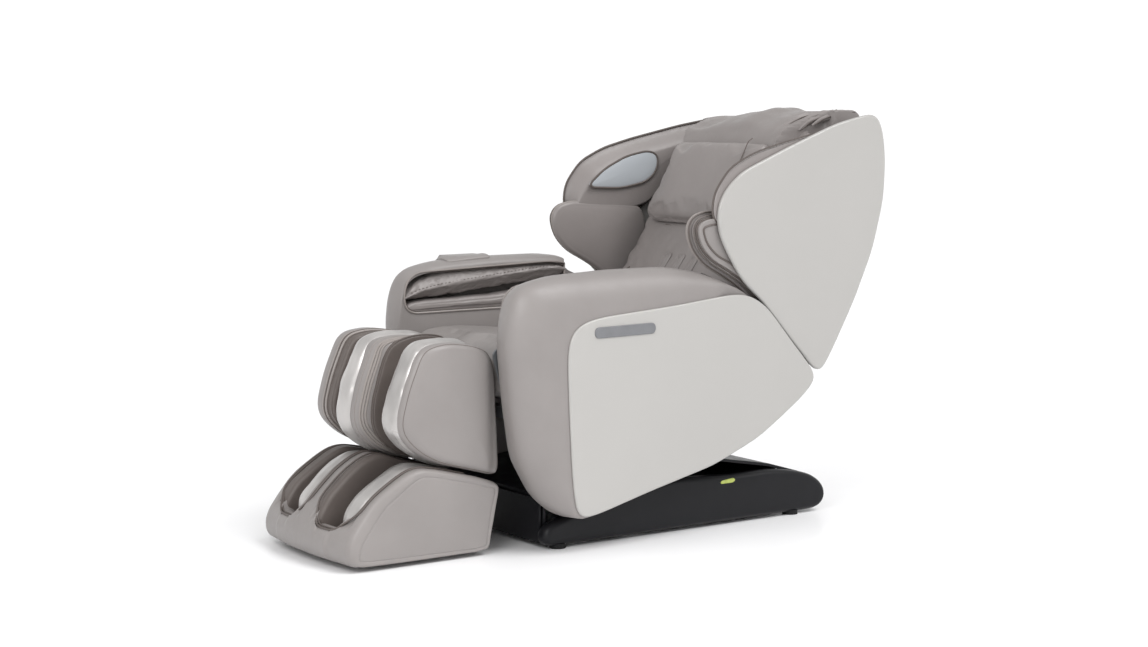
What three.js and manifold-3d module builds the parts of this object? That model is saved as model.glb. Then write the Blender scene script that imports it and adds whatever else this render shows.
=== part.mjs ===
// A reclining massage chair. Millimetres, +Z up, the sitter faces -Y.
// Side outlines are lists of [y, z]; the toe of the foot unit is near y = 0.
import * as THREE from "three";
import { mergeVertices } from "three/addons/utils/BufferGeometryUtils.js";
import Module from "manifold-3d";

const wasm = await Module();
wasm.setup();

// ---- driving dimensions ----
const GAP = 0.3;
const MID_Y = 777.6;

const ARM_IN = 250;
const ARM_OUT = 374;
const ARM_REAR_OUT = 361;
const PANEL_THICK = 6;
const ARM_PANEL_IN = ARM_OUT + GAP;
const BACK_PANEL_IN = 366;
const WING_IN = 300;
const BASE_HALF = 285;
const BASE_COVER_THICK = 36;

const CALF_HALF = 236;
const CALF_WALL_IN = 160;
const FOOT_HALF = 240;
const FOOT_WALL_IN = 165;
const DIVIDER_HALF = 46;

const SEAT_PIVOT = [1000, 360];
const BACK_PIVOT = [1120, 430];
const LEG_PIVOT = [400, 520];
const PIN_RADIUS = 8;

const BACK_ORIGIN = [1045, 520];
const BACK_LEAN = 32;
const CUSHION_THICK = 50;
const RAIL_LENGTH = 616;
const CARRIAGE_Z = 300;
const ARM_SHAFT_DEPTH = 142;
const ROLLER_DEPTH = 94;
const ROLLER_RADIUS = 24;
const ROLLER_SPREAD = 56;
const ROLLER_X = 78;

const EXTEND_DIRECTION = [-0.3, -0.954];
const EXTEND_START = [290, 204];
const ROD_LENGTH = 186;
const ROD_RADIUS = 8;
const ROD_SEAT = 30;

// ---- materials ----
function material(color, roughness, metalness = 0) {
  return new THREE.MeshStandardMaterial({ color, roughness, metalness });
}
const taupe = material(0xaba5a2, 0.55);
const brown = material(0x6b625e, 0.6);
const silver = material(0xc6c4c4, 0.3, 0.2);
const white = material(0xd8d5d0, 0.35);
const charcoal = material(0x2b2b2e, 0.4);
const trimGrey = material(0x9c9da0, 0.35, 0.6);
const steel = material(0x8d9094, 0.45, 0.8);
const rubber = material(0x1b1b1c, 0.9);
const device = material(0x3b3d40, 0.6);

// ---- geometry helpers ----
function roundedShape(points, radius) {
  const shape = new THREE.Shape();
  const corners = points.map(([a, b]) => new THREE.Vector2(a, b));
  corners.forEach((corner, i) => {
    const before = corners[(i + corners.length - 1) % corners.length];
    const after = corners[(i + 1) % corners.length];
    const towardBefore = before.clone().sub(corner);
    const towardAfter = after.clone().sub(corner);
    const cutIn = Math.min(radius, towardBefore.length() * 0.48);
    const cutOut = Math.min(radius, towardAfter.length() * 0.48);
    const start = corner.clone().addScaledVector(towardBefore.normalize(), cutIn);
    const end = corner.clone().addScaledVector(towardAfter.normalize(), cutOut);
    if (i === 0) shape.moveTo(start.x, start.y);
    else shape.lineTo(start.x, start.y);
    if (radius > 0) shape.quadraticCurveTo(corner.x, corner.y, end.x, end.y);
  });
  shape.closePath();
  return shape;
}

// Turns a shape drawn in (y, z) and extruded along its own depth so that the depth runs along X.
const SIDEWAYS = new THREE.Matrix4().set(0, 0, 1, 0, 1, 0, 0, 0, 0, 1, 0, 0, 0, 0, 0, 1);

function slab(points, x0, x1, radius = 0, steps = 2) {
  const shape = roundedShape(points, radius);
  const flat = new THREE.ExtrudeGeometry(shape, {
    depth: x1 - x0,
    bevelEnabled: false,
    curveSegments: steps,
  });
  return flat.applyMatrix4(SIDEWAYS).translate(x0, 0, 0);
}

// A slab with eased rims: its two end faces are drawn in by the soft width, about its middle.
function pad(points, x0, x1, radius, soft) {
  const flat = new THREE.ExtrudeGeometry(roundedShape(points, radius), {
    depth: 3,
    steps: 3,
    bevelEnabled: false,
    curveSegments: 2,
  });
  flat.applyMatrix4(SIDEWAYS).computeBoundingBox();
  const middle = flat.boundingBox.getCenter(new THREE.Vector3());
  const size = flat.boundingBox.getSize(new THREE.Vector3());
  const layers = [x0, x0 + soft, x1 - soft, x1];
  const place = flat.getAttribute("position");
  for (let i = 0; i < place.count; i += 1) {
    const layer = Math.round(place.getX(i));
    const drawIn = layer === 0 || layer === 3 ? 2 * soft : 0;
    const y = middle.y + (place.getY(i) - middle.y) * (1 - drawIn / size.y);
    const z = middle.z + (place.getZ(i) - middle.z) * (1 - drawIn / size.z);
    place.setXYZ(i, layers[layer], y, z);
  }
  flat.computeVertexNormals();
  return flat;
}

function planSlab(points, z0, z1, radius = 0) {
  const flat = new THREE.ExtrudeGeometry(roundedShape(points, radius), {
    depth: z1 - z0,
    bevelEnabled: false,
    curveSegments: 3,
  });
  return flat.translate(0, 0, z0);
}

function bar([x0, x1], [y0, y1], [z0, z1]) {
  const box = new THREE.BoxGeometry(x1 - x0, y1 - y0, z1 - z0);
  return box.translate((x0 + x1) / 2, (y0 + y1) / 2, (z0 + z1) / 2);
}

function rodBetween(radius, from, to, sides = 16) {
  const start = new THREE.Vector3(...from);
  const along = new THREE.Vector3(...to).sub(start);
  const rod = new THREE.CylinderGeometry(radius, radius, along.length(), sides);
  const turn = new THREE.Quaternion();
  turn.setFromUnitVectors(new THREE.Vector3(0, 1, 0), along.clone().normalize());
  rod.applyQuaternion(turn);
  return rod.translate(...start.addScaledVector(along, 0.5).toArray());
}

function rodAcross(radius, x0, x1, [y, z], sides = 16) {
  return rodBetween(radius, [x0, y, z], [x1, y, z], sides);
}

function mirrored(geometry) {
  const copy = geometry.index ? geometry.toNonIndexed() : geometry.clone();
  copy.scale(-1, 1, 1);
  const place = copy.getAttribute("position");
  for (let i = 0; i < place.count; i += 3) {
    const [x, y, z] = [place.getX(i + 1), place.getY(i + 1), place.getZ(i + 1)];
    place.setXYZ(i + 1, place.getX(i + 2), place.getY(i + 2), place.getZ(i + 2));
    place.setXYZ(i + 2, x, y, z);
  }
  copy.computeVertexNormals();
  return copy;
}

// ---- joining and cutting ----
function toSolid(geometry) {
  const bare = geometry.clone();
  bare.deleteAttribute("normal");
  bare.deleteAttribute("uv");
  const merged = mergeVertices(bare, 1e-3);
  const mesh = new wasm.Mesh({
    numProp: 3,
    vertProperties: new Float32Array(merged.getAttribute("position").array),
    triVerts: new Uint32Array(merged.getIndex().array),
  });
  return new wasm.Manifold(mesh);
}

function toGeometry(solid) {
  const mesh = solid.getMesh();
  const geometry = new THREE.BufferGeometry();
  const place = new THREE.BufferAttribute(new Float32Array(mesh.vertProperties), 3);
  geometry.setAttribute("position", place);
  geometry.setIndex(new THREE.BufferAttribute(new Uint32Array(mesh.triVerts), 1));
  geometry.computeVertexNormals();
  return geometry;
}

function join(...pieces) {
  return toGeometry(pieces.map(toSolid).reduce((sum, piece) => sum.add(piece)));
}

function cut(body, ...tools) {
  return toGeometry(tools.map(toSolid).reduce((rest, tool) => rest.subtract(tool), toSolid(body)));
}

function common(first, second) {
  return toGeometry(toSolid(first).intersect(toSolid(second)));
}

function both(geometry) {
  return join(geometry, mirrored(geometry));
}

// ---- scene graph ----
const chair = new THREE.Group();
const back = new THREE.Group();
back.position.set(0, ...BACK_ORIGIN);
back.rotation.x = -THREE.MathUtils.degToRad(BACK_LEAN);
chair.add(back);

function add(name, geometry, look, group = chair) {
  const mesh = new THREE.Mesh(geometry, look);
  mesh.name = name;
  group.add(mesh);
}

// Adds a left piece and its mirror image on the right.
function addPair(name, geometry, look, group = chair) {
  add(`${name}_left`, geometry, look, group);
  add(`${name}_right`, mirrored(geometry), look, group);
}

// ---- base ----
const BASE_SIDE = [
  [505, 14], [512, 62], [560, 78], [785, 128], [950, 150], [1150, 136], [1276, 139], [1368, 126],
  [1432, 108], [1482, 72], [1493, 40], [1470, 14],
];
const BASE_CENTER = [
  [532, 40], [534, 140], [760, 172], [1078, 190], [1300, 150], [1408, 118], [1408, 110],
  [1300, 142], [1078, 182], [760, 164], [541, 134], [541, 40],
];
const STAND_X = [186, 200];

function makeBase() {
  const rail = bar([180, 206], [545, 1400], [22, 50]);
  const stand = slab([[940, 50], [980, 385], [1020, 385], [1060, 50]], ...STAND_X, 20);
  const crossings = [560, 820, 1100, 1372].map((y) => bar([-181, 181], [y, y + 28], [24, 48]));
  const axle = rodAcross(6, -226, 226, [1430, 52]);
  const axleLug = bar([186, 200], [1398, 1440], [30, 62]);
  const pin = rodAcross(PIN_RADIUS, STAND_X[1] - 2, 238, SEAT_PIVOT);
  const frame = join(both(rail), both(stand), both(axleLug), both(pin), axle, ...crossings);
  add("base_frame", frame, steel);

  const coverIn = BASE_HALF - BASE_COVER_THICK;
  addPair("base_cover", slab(BASE_SIDE, coverIn, BASE_HALF, 26), charcoal);

  const slots = bar([STAND_X[0] - 8, STAND_X[1] + 8], [880, 1120], [60, 240]);
  const rearWall = bar([-150, 150], [1406, 1410], [34, 112]);
  const arch = slab(BASE_CENTER, -coverIn + 1, coverIn - 1);
  const center = cut(join(arch, rearWall), slots, mirrored(slots));
  add("base_cover_center", center, charcoal);
  add("base_cover_front", bar([-coverIn + 1, coverIn - 1], [520, 526], [16, 132]), charcoal);

  for (const [place, y] of [["front", 570], ["rear", 1370]]) {
    const foot = rodBetween(22, [262, y, 0], [262, y, 14 - GAP], 20);
    addPair(`rubber_foot_${place}`, foot, rubber);
  }

  const wheel = rodAcross(30, 212, 232, [1430, 52], 24);
  const bore = rodAcross(6 + GAP, 205, 240, [1430, 52]);
  addPair("transport_wheel", cut(wheel, bore), rubber);
}

function makePowerEntry() {
  const wallFace = 1410 + GAP;
  const socket = bar([58, 108], [wallFace, 1426], [64, 98]);
  const recess = bar([66, 100], [1414, 1440], [70, 92]);
  add("power_inlet", cut(socket, recess), charcoal);
  const rocker = [[1414, 71], [1422, 69], [1419, 80], [1422, 91], [1414, 89]];
  add("power_switch", slab(rocker, 16, 34), rubber);
}

// ---- seat and arms ----
const SEAT_TOP = [
  [426, 396], [426, 520], [452, 546], [560, 545], [760, 522], [1000, 496], [1024, 480], [1030, 396],
];
const ARM_SIDE = [
  [540, 92], [470, 150], [415, 250], [392, 400], [378, 545], [384, 620], [404, 680], [440, 708],
  [520, 724], [700, 732], [880, 731], [985, 716], [1060, 684], [1118, 650], [1362, 398], [1296, 338],
  [1150, 250], [1000, 188], [780, 138], [620, 98],
];
const ARM_PLAN = [
  [ARM_IN, 404], [ARM_IN + 10, 386], [300, 376], [340, 400], [364, 452], [ARM_OUT, 520],
  [ARM_OUT, 1040], [ARM_REAR_OUT, 1060], [ARM_REAR_OUT, 1285], [ARM_IN, 1285],
];
const PANEL_SIDE = [
  [556, 92], [540, 200], [531, 360], [525, 514], [531, 572], [560, 602], [623, 616], [881, 635],
  [1067, 654], [1126, 648], [1183, 613], [1263, 522], [1370, 406], [1301, 347], [1159, 256],
  [1003, 194], [785, 144], [624, 103],
];
const TROUGH = [[424, 592], [404, 616], [412, 668], [440, 692], [900, 700], [1090, 706], [1180, 592]];
const SLOT = { y: [606, 800], z: [563, 592], lean: 2 };

function slotBar(inset, x0, x1) {
  const [y0, y1] = [SLOT.y[0] + inset, SLOT.y[1] - inset];
  const [z0, z1] = [SLOT.z[0] + inset, SLOT.z[1] - inset];
  return slab([[y0, z0], [y1, z0 + SLOT.lean], [y1, z1 + SLOT.lean], [y0, z1]], x0, x1, 14, 4);
}

function makeSeat() {
  const rail = bar([206, 240], [440, 1084], [340, 380]);
  const pivotHole = rodAcross(PIN_RADIUS + GAP, 200, 245, SEAT_PIVOT);
  const legEar = slab([[382, 524], [396, 540], [414, 532], [470, 380], [470, 345], [432, 345]],
    239, 246, 8);
  const legPin = rodAcross(PIN_RADIUS, 226, 240, LEG_PIVOT);
  const backEar = slab([[1040, 345], [1040, 379], [1098, 442], [1132, 450], [1142, 424], [1072, 345]],
    226, 234, 8);
  const backPin = rodAcross(PIN_RADIUS, 212, 227, BACK_PIVOT);
  const side = cut(join(rail, legEar, legPin, backEar, backPin), pivotHole);
  const crossFront = bar([-207, 207], [448, 478], [345, 375]);
  const crossMiddle = bar([-207, 207], [640, 664], [345, 375]);
  const crossRear = bar([-207, 207], [1072, 1084], [262, 280]);
  const rearDrop = bar([206, 214], [1056, 1084], [262, 345]);
  const clevis = bar([-24, 24], [642, 662], [262, 346]);
  const clevisSlot = bar([-12, 12], [630, 670], [255, 290]);
  const clevisHole = rodAcross(6 + GAP, -30, 30, [652, 274]);
  const middle = cut(join(crossMiddle, clevis), clevisSlot, clevisHole);
  const frame = join(side, mirrored(side), both(rearDrop), crossFront, middle, crossRear);
  add("seat_frame", frame, steel);

  add("seat_cushion", pad(SEAT_TOP, -238, 238, 20, 8), taupe);
  add("air_pump", rodBetween(44, [-110, 700, 290], [-110, 860, 290], 20), device);
}

function makeArms() {
  const side = slab(ARM_SIDE, ARM_IN, ARM_OUT, 30);
  const plan = planSlab(ARM_PLAN, 60, 760, 12);
  const trough = slab(TROUGH, ARM_IN - 10, ARM_IN + 84, 16);
  const flapSeat = bar([300, 352], [555, 700], [722, 760]);
  const arm = cut(common(side, plan), trough);
  add("arm_left", arm, taupe);
  add("arm_right", cut(mirrored(arm), mirrored(flapSeat)), taupe);

  const outer = ARM_PANEL_IN + PANEL_THICK;
  const pocket = slotBar(0, outer - 3, outer + 2);
  const panel = cut(slab(PANEL_SIDE, ARM_PANEL_IN, outer, 22), pocket);
  addPair("arm_panel", panel, white);
  addPair("slot_trim", slotBar(GAP, outer - 3 + GAP, outer + 1), trimGrey);

  const upper = pad([[430, 652], [440, 686], [900, 696], [956, 690], [956, 668], [900, 660]],
    ARM_IN + 4, ARM_IN + 80, 14, 4);
  addPair("forearm_airbag", upper, brown);
  add("arm_flap", mirrored(bar([302, 350], [558, 697], [722 + GAP, 729])), taupe);
}

// ---- calf unit ----
const CALF_SIDE = [
  [180, 552], [254, 563], [328, 553], [373, 537], [398, 512], [404, 470], [416, 214], [404, 201],
  [371, 212], [222, 253], [164, 285], [121, 327], [112, 366], [136, 452],
];
const CALF_DIVIDER = [
  [158, 556], [240, 563], [328, 553], [364, 540], [364, 216], [210, 246], [146, 276], [102, 322],
  [94, 368], [116, 452],
];
const CALF_BACK = [[365, 536], [382, 524], [398, 505], [404, 470], [414, 214], [404, 204], [365, 214]];
const CALF_BAG = [[205, 540], [350, 532], [355, 225], [240, 262], [170, 300], [132, 366], [160, 462]];

// A rod along the foot unit's travel, from a depth in the foot divider to a height in the calf divider.
function extensionRod(radius, depth, height) {
  const [y, z] = EXTEND_START;
  const [dy, dz] = EXTEND_DIRECTION;
  return rodBetween(radius, [0, y + dy * depth, z + dz * depth], [0, y - dy * height, z - dz * height]);
}

function makeCalfUnit() {
  const wall = slab(CALF_SIDE, CALF_WALL_IN, CALF_HALF, 24);
  const pinHole = rodAcross(PIN_RADIUS + GAP, 222, 260, LEG_PIVOT);
  addPair("calf_wall", cut(wall, pinHole), taupe);
  const divider = slab(CALF_DIVIDER, -DIVIDER_HALF, DIVIDER_HALF, 24);
  const rodHole = extensionRod(ROD_RADIUS + GAP, 40, ROD_LENGTH + 8);
  add("calf_divider", cut(divider, rodHole), taupe);
  add("calf_back_panel", slab(CALF_BACK, -CALF_WALL_IN + GAP, CALF_WALL_IN - GAP, 8), taupe);

  const outerBag = pad(CALF_BAG, CALF_WALL_IN - 20, CALF_WALL_IN - GAP, 24, 7);
  const dividerBag = pad(CALF_BAG, -DIVIDER_HALF - 20, -DIVIDER_HALF - GAP, 24, 7);
  add("calf_airbag_left", outerBag, silver);
  add("calf_airbag_right", dividerBag, silver);
}

// ---- foot unit ----
const FOOT_WALL = [
  [0, 12], [-16, 60], [24, 158], [90, 203], [163, 231], [251, 222], [341, 202], [408, 177], [372, 12],
];
const FOOT_TOE = [[-2, 12], [-44, 20], [-62, 52], [-62, 88], [-48, 112], [12, 122], [24, 96], [10, 60], [8, 12]];
const FOOT_TRAY = [[10, 12], [10, 20], [345, 20], [362, 184], [404, 176], [371, 12]];
const FOOT_DIVIDER = [
  [14, 60], [14, 125], [50, 172], [110, 212], [170, 229], [251, 221], [361, 192], [346, 60],
];
const SOLE_ROLLER = [150, 38];

function makeFootUnit() {
  const wall = slab(FOOT_WALL, FOOT_WALL_IN, FOOT_HALF, 22);
  const shaftHole = rodAcross(5 + GAP, FOOT_WALL_IN - 2, FOOT_WALL_IN + 14, SOLE_ROLLER);
  addPair("foot_wall", cut(wall, shaftHole), taupe);
  add("extension_rod", extensionRod(ROD_RADIUS, ROD_SEAT, ROD_LENGTH), steel);

  const noseArc = [[-FOOT_HALF, -16], [-190, -40], [-90, -60], [0, -62], [90, -60], [190, -40], [FOOT_HALF, -16]];
  const nosePlan = planSlab([...noseArc, [FOOT_HALF, 40], [-FOOT_HALF, 40]], 0, 200, 20);
  const nose = common(slab(FOOT_TOE, -FOOT_HALF, FOOT_HALF, 18), nosePlan);
  const clearWall = slab(FOOT_WALL, FOOT_WALL_IN - GAP, FOOT_HALF + 9, 22);
  const wallRoom = clearWall.clone().translate(0, -GAP, 0);
  add("foot_toe_cap", cut(nose, clearWall, wallRoom, mirrored(clearWall), mirrored(wallRoom)), taupe);
  add("foot_tray", slab(FOOT_TRAY, -FOOT_WALL_IN + GAP, FOOT_WALL_IN - GAP, 3), taupe);
  const divider = slab(FOOT_DIVIDER, -DIVIDER_HALF, DIVIDER_HALF, 24);
  const rodSeat = extensionRod(ROD_RADIUS + GAP, ROD_SEAT + GAP, 40);
  add("foot_divider", cut(divider, bar([-60, 60], [0, 27], [50, 124]), rodSeat), taupe);

  const shaft = rodAcross(5, -FOOT_WALL_IN - 10, FOOT_WALL_IN + 10, SOLE_ROLLER);
  const roller = rodAcross(13, 76, 134, SOLE_ROLLER, 12);
  add("sole_roller_set", join(shaft, both(roller)), device);
}

// ---- backrest ----
const BACK_SIDE = [
  [1583, 1140], [1607, 1089], [1618, 1005], [1612, 892], [1573, 752], [1507, 613], [1435, 490],
  [1381, 407], [1270, 521], [1168, 632], [1108, 681], [1066, 740], [1022, 814], [1014, 876],
  [1034, 926], [1094, 980], [1255, 1044], [1438, 1110],
];
const SHELL_OUTER = [
  [1596, 1086], [1608, 1005], [1602, 893], [1564, 756], [1498, 618],
  [1428, 499], [1380, 420], [1330, 450],
];
const WING_UPPER = [
  [1000, 884], [1024, 930], [1086, 986], [1250, 1051], [1434, 1114], [1562, 1134], [1572, 1094],
  [1440, 1000], [1300, 890], [1180, 852], [1060, 852],
];
const WING_LOWER = [
  [942, 815], [950, 852], [996, 872], [1060, 847], [1180, 847], [1262, 800], [1200, 700],
  [1110, 690], [1050, 742], [970, 765],
];
const SPEAKER = [[1062, 919], [1122, 968], [1200, 1004], [1280, 1020], [1318, 1008], [1312, 960], [1272, 930], [1180, 914]];
const TOP_CAP = [
  [1440, 1086], [1450, 1134], [1520, 1146], [1575, 1144], [1588, 1126], [1560, 1118], [1500, 1104],
];

// Thickens an open line of points into a closed outline, towards its right-hand side.
function ribbon(line, thick) {
  const inner = line.map(([y, z], i) => {
    const [y0, z0] = line[Math.max(i - 1, 0)];
    const [y1, z1] = line[Math.min(i + 1, line.length - 1)];
    const length = Math.hypot(y1 - y0, z1 - z0);
    return [y + ((z1 - z0) / length) * thick, z - ((y1 - y0) / length) * thick];
  });
  return [...line, ...inner.reverse()];
}

function makeBackCase() {
  const panel = slab(BACK_SIDE, BACK_PANEL_IN, BACK_PANEL_IN + PANEL_THICK, 22);
  addPair("back_panel", panel, white);
  add("back_shell", slab(ribbon(SHELL_OUTER, 5), -BACK_PANEL_IN + GAP, BACK_PANEL_IN - GAP), white);
  addPair("wing_upper", pad(WING_UPPER, WING_IN, BACK_PANEL_IN - 6, 18, 8), taupe);
  addPair("wing_lower", pad(WING_LOWER, WING_IN, BACK_PANEL_IN - 6, 18, 8), taupe);
  addPair("speaker", slab(SPEAKER, WING_IN - 5, WING_IN - GAP, 20), trimGrey);
  add("top_cap", pad(TOP_CAP, -290, 290, 8, 4), taupe);
}

// In the backrest's own group, z runs up the back and y runs behind the sitter's surface.
function makeBackInside() {
  const [dy, dz] = [BACK_PIVOT[0] - BACK_ORIGIN[0], BACK_PIVOT[1] - BACK_ORIGIN[1]];
  const lean = THREE.MathUtils.degToRad(BACK_LEAN);
  const pivot = [dy * Math.cos(lean) - dz * Math.sin(lean), dy * Math.sin(lean) + dz * Math.cos(lean)];
  const plate = slab([[88, -66], [84, -10], [132, 24], [172, 24], [172, -30], [130, -66]], 214, 222, 10);
  const pinHole = rodAcross(PIN_RADIUS + GAP, 205, 230, pivot);
  const upright = bar([214, 236], [134, 170], [0, 640]);
  const rail = bar([190, 216], [136, 158], [4, 4 + RAIL_LENGTH]);
  const groove = bar([180, 204], [140, 152], [-10, RAIL_LENGTH + 30]);
  const side = cut(join(plate, upright, rail), pinHole, groove);
  const crossings = [0, 610].map((z) => bar([-218, 218], [156, 176], [z, z + 28]));
  const lever = slab([[158, 6], [170, 28], [190, -60], [168, -128], [150, -128], [150, -108]], -9, 9, 6);
  add("back_frame", join(side, mirrored(side), ...crossings, lever), steel, back);

  const cushion = [[0, 14], [-2, 60], [4, 160], [0, 340], [0, 640], [14, 680], [CUSHION_THICK, 690],
    [CUSHION_THICK, 14]];
  add("back_cushion", pad(cushion, -246, 246, 16, 6), taupe, back);
  const pillow = [[-9, 348], [-40, 344], [-60, 372], [-66, 460], [-58, 556], [-36, 598], [-9, 600]];
  add("head_pillow", pad(pillow, -208, 208, 16, 10), taupe, back);
}

function makeMassageUnit() {
  const z = CARRIAGE_Z;
  const plate = bar([-186, 186], [158 + GAP, 164], [z - 80, z + 80]);
  const guide = bar([184, 203], [142, 150], [z - 60, z + 60]);
  const guideArm = bar([180, 187], [142, 164], [z - 60, z + 60]);
  const motor = rodBetween(34, [0, 193, z - 60], [0, 193, z + 60], 16);
  const post = bar([24, 34], [128, 160], [z - 14, z + 14]);
  const shaft = rodAcross(6, -124, 124, [ARM_SHAFT_DEPTH, z]);
  const endPost = bar([118, 128], [132, 160], [z - 14, z + 14]);
  const parts = [plate, both(guide), both(guideArm), motor, both(post), both(endPost), shaft];
  add("massage_carriage", join(...parts), device, back);

  const arm = slab([
    [ROLLER_DEPTH - 12, z - ROLLER_SPREAD - 8], [ROLLER_DEPTH + 12, z - ROLLER_SPREAD - 8],
    [ARM_SHAFT_DEPTH + 10, z - 14], [ARM_SHAFT_DEPTH + 10, z + 14],
    [ROLLER_DEPTH + 12, z + ROLLER_SPREAD + 8], [ROLLER_DEPTH - 12, z + ROLLER_SPREAD + 8],
    [ROLLER_DEPTH + 22, z],
  ], ROLLER_X - 6, ROLLER_X + 6, 8);
  const shaftHole = rodAcross(6 + GAP, ROLLER_X - 20, ROLLER_X + 20, [ARM_SHAFT_DEPTH, z]);
  const heights = [z + ROLLER_SPREAD, z - ROLLER_SPREAD];
  const axles = heights.map((height) => rodAcross(5, ROLLER_X, ROLLER_X + 34, [ROLLER_DEPTH, height]));
  const rollerArm = cut(join(arm, ...axles), shaftHole);
  addPair("roller_arm", rollerArm, steel, back);

  ["upper", "lower"].forEach((level, i) => {
    const profile = [[5 + GAP, 0], [16, 0], [ROLLER_RADIUS, 8], [ROLLER_RADIUS, 16], [16, 24], [5 + GAP, 24], [5 + GAP, 0]];
    const lathe = new THREE.LatheGeometry(profile.map(([r, h]) => new THREE.Vector2(r, h)), 20);
    lathe.rotateZ(-Math.PI / 2).translate(ROLLER_X + 8, ROLLER_DEPTH, heights[i]);
    addPair(`massage_roller_${level}`, lathe, rubber, back);
  });
}

// ---- recline actuator ----
const ACTUATOR_FROM = [652, 274];
const ACTUATOR_ANGLE = 7.14;

function makeActuator() {
  const angle = THREE.MathUtils.degToRad(ACTUATOR_ANGLE);
  const at = (distance) => [
    0, ACTUATOR_FROM[0] + distance * Math.cos(angle), ACTUATOR_FROM[1] + distance * Math.sin(angle),
  ];
  const eye = rodAcross(14, -10, 10, ACTUATOR_FROM);
  const pin = rodAcross(6, -26, 26, ACTUATOR_FROM);
  const tube = rodBetween(20, at(40), at(290));
  const neck = rodBetween(9, at(0), at(60));
  const bore = rodBetween(9 + GAP, at(100), at(300));
  add("actuator_tube", cut(join(eye, pin, neck, tube), bore), device);
  add("actuator_rod", rodBetween(9, at(170), at(446)), steel);
}

makeBase();
makePowerEntry();
makeSeat();
makeArms();
makeCalfUnit();
makeFootUnit();
makeBackCase();
makeBackInside();
makeMassageUnit();
makeActuator();
chair.position.y = -MID_Y;

export default chair;
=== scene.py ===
"""A reclining massage chair in leather and lacquered panels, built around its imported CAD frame.

Outlines are drawn in millimetres in the chair's own frame: x across, y from toe to back, z up.
"""

import math

import bmesh
import bpy
import numpy as np
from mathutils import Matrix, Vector, noise


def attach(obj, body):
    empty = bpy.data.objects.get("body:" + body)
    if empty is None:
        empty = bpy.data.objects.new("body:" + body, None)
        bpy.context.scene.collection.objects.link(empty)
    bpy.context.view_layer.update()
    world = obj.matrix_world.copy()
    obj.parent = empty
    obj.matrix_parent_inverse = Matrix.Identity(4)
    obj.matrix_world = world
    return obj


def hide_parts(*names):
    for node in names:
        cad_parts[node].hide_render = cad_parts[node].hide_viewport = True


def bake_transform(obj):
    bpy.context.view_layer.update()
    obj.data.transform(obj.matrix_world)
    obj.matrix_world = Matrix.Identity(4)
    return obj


# ---- driving dimensions ----
MID_Y = 777.6
MM = 0.001
RING = 180
SHARP = math.radians(38)
TUBE_SIDES = 7
CLOTH_FRAMES = 20
SIDES = (("left", 1), ("right", -1))

SENSOR_WIDTH, FOCAL, IMAGE_WIDTH = 36, 2080, 1148
CAMERA_PLACE = (4.7288, -3.2249, 1.1800)
CAMERA_AZIMUTH, CAMERA_PITCH = math.radians(55.5), math.radians(6.2)

ARM_IN, ARM_CREST, ARM_OUT, ARM_REAR_OUT = 250, 300, 374, 361
TROUGH_X = 334
LID_X = -302
LIP_END = 944
SEAT_HALF = 234
BACK_PANEL_OUT = 372
SHELL_THICK = 5
WING_IN, WING_OUT = 314, 360
CALF_IN, CALF_THIN_IN, CALF_OUT = 160, 190, 236
FOOT_HALF, FOOT_FLAT = 240, 224
DIVIDER_HALF = 46
TOE_ROUND = 26
BASE_IN, BASE_OUT = 249, 285
BACK_ORIGIN = (1045, 520)
BACK_LEAN = math.radians(32)
LEAN_COS, LEAN_SIN = math.cos(BACK_LEAN), math.sin(BACK_LEAN)
CAP_SCALES = (0.97, 0.92, 0.85, 0.76, 0.65, 0.53, 0.4, 0.27, 0.14, 0.05)

ARM_SIDE = [
    (540, 92), (470, 150), (415, 250), (392, 400), (378, 545), (384, 620), (404, 680), (440, 708),
    (520, 724), (700, 732), (880, 731), (985, 716), (1060, 684), (1118, 650), (1362, 398),
    (1296, 338), (1150, 250), (1000, 188), (780, 138), (620, 98),
]
ARM_MARKS = [
    (540, 92), (378, 545), (420, 698), (985, 716), (1118, 650), (1350, 396), (1150, 250), (780, 138),
]
PANEL_SIDE = [
    (556, 92), (540, 200), (531, 360), (525, 514), (531, 572), (560, 602), (623, 616), (881, 635),
    (1067, 654), (1126, 648), (1183, 613), (1263, 522), (1370, 406), (1301, 347), (1159, 256),
    (1003, 194), (785, 144), (624, 103),
]
PANEL_MARKS = [
    (556, 92), (525, 514), (545, 592), (1067, 654), (1183, 613), (1362, 402), (1159, 256), (785, 144),
]
TROUGH = [
    (428, 592), (410, 616), (416, 666), (444, 692), (880, 704), (936, 700), (956, 684), (954, 612),
    (932, 592),
]
TROUGH_MARKS = [
    (520, 592), (410, 616), (428, 684), (880, 704), (950, 690), (952, 604), (800, 592), (660, 592),
]
MARK_COUNTS = [26, 14, 34, 14, 30, 20, 26, 16]
FLAP_Y = (408, 414, 430, 460, 520, 600, 700, 800, 880, 930, 946, 952)
FLAP_TOP = (632, 640, 656, 678, 695, 703, 708, 709, 708, 704, 694, 688)
FLAP_RIDGE = (628, 630, 636, 646, 656, 665, 675, 685, 691, 691, 686, 682)
FLAP_LOW = (624, 622, 622, 624, 627, 633, 642, 652, 660, 664, 668, 672)
ARM_PAD_LOWER = [
    (412, 584), (408, 604), (440, 616), (700, 622), (915, 640), (946, 630), (950, 604), (930, 586),
]
SEAT_TOP = [
    (426, 396), (426, 520), (452, 546), (560, 545), (760, 522), (1000, 496), (1024, 480), (1030, 396),
]

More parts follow.
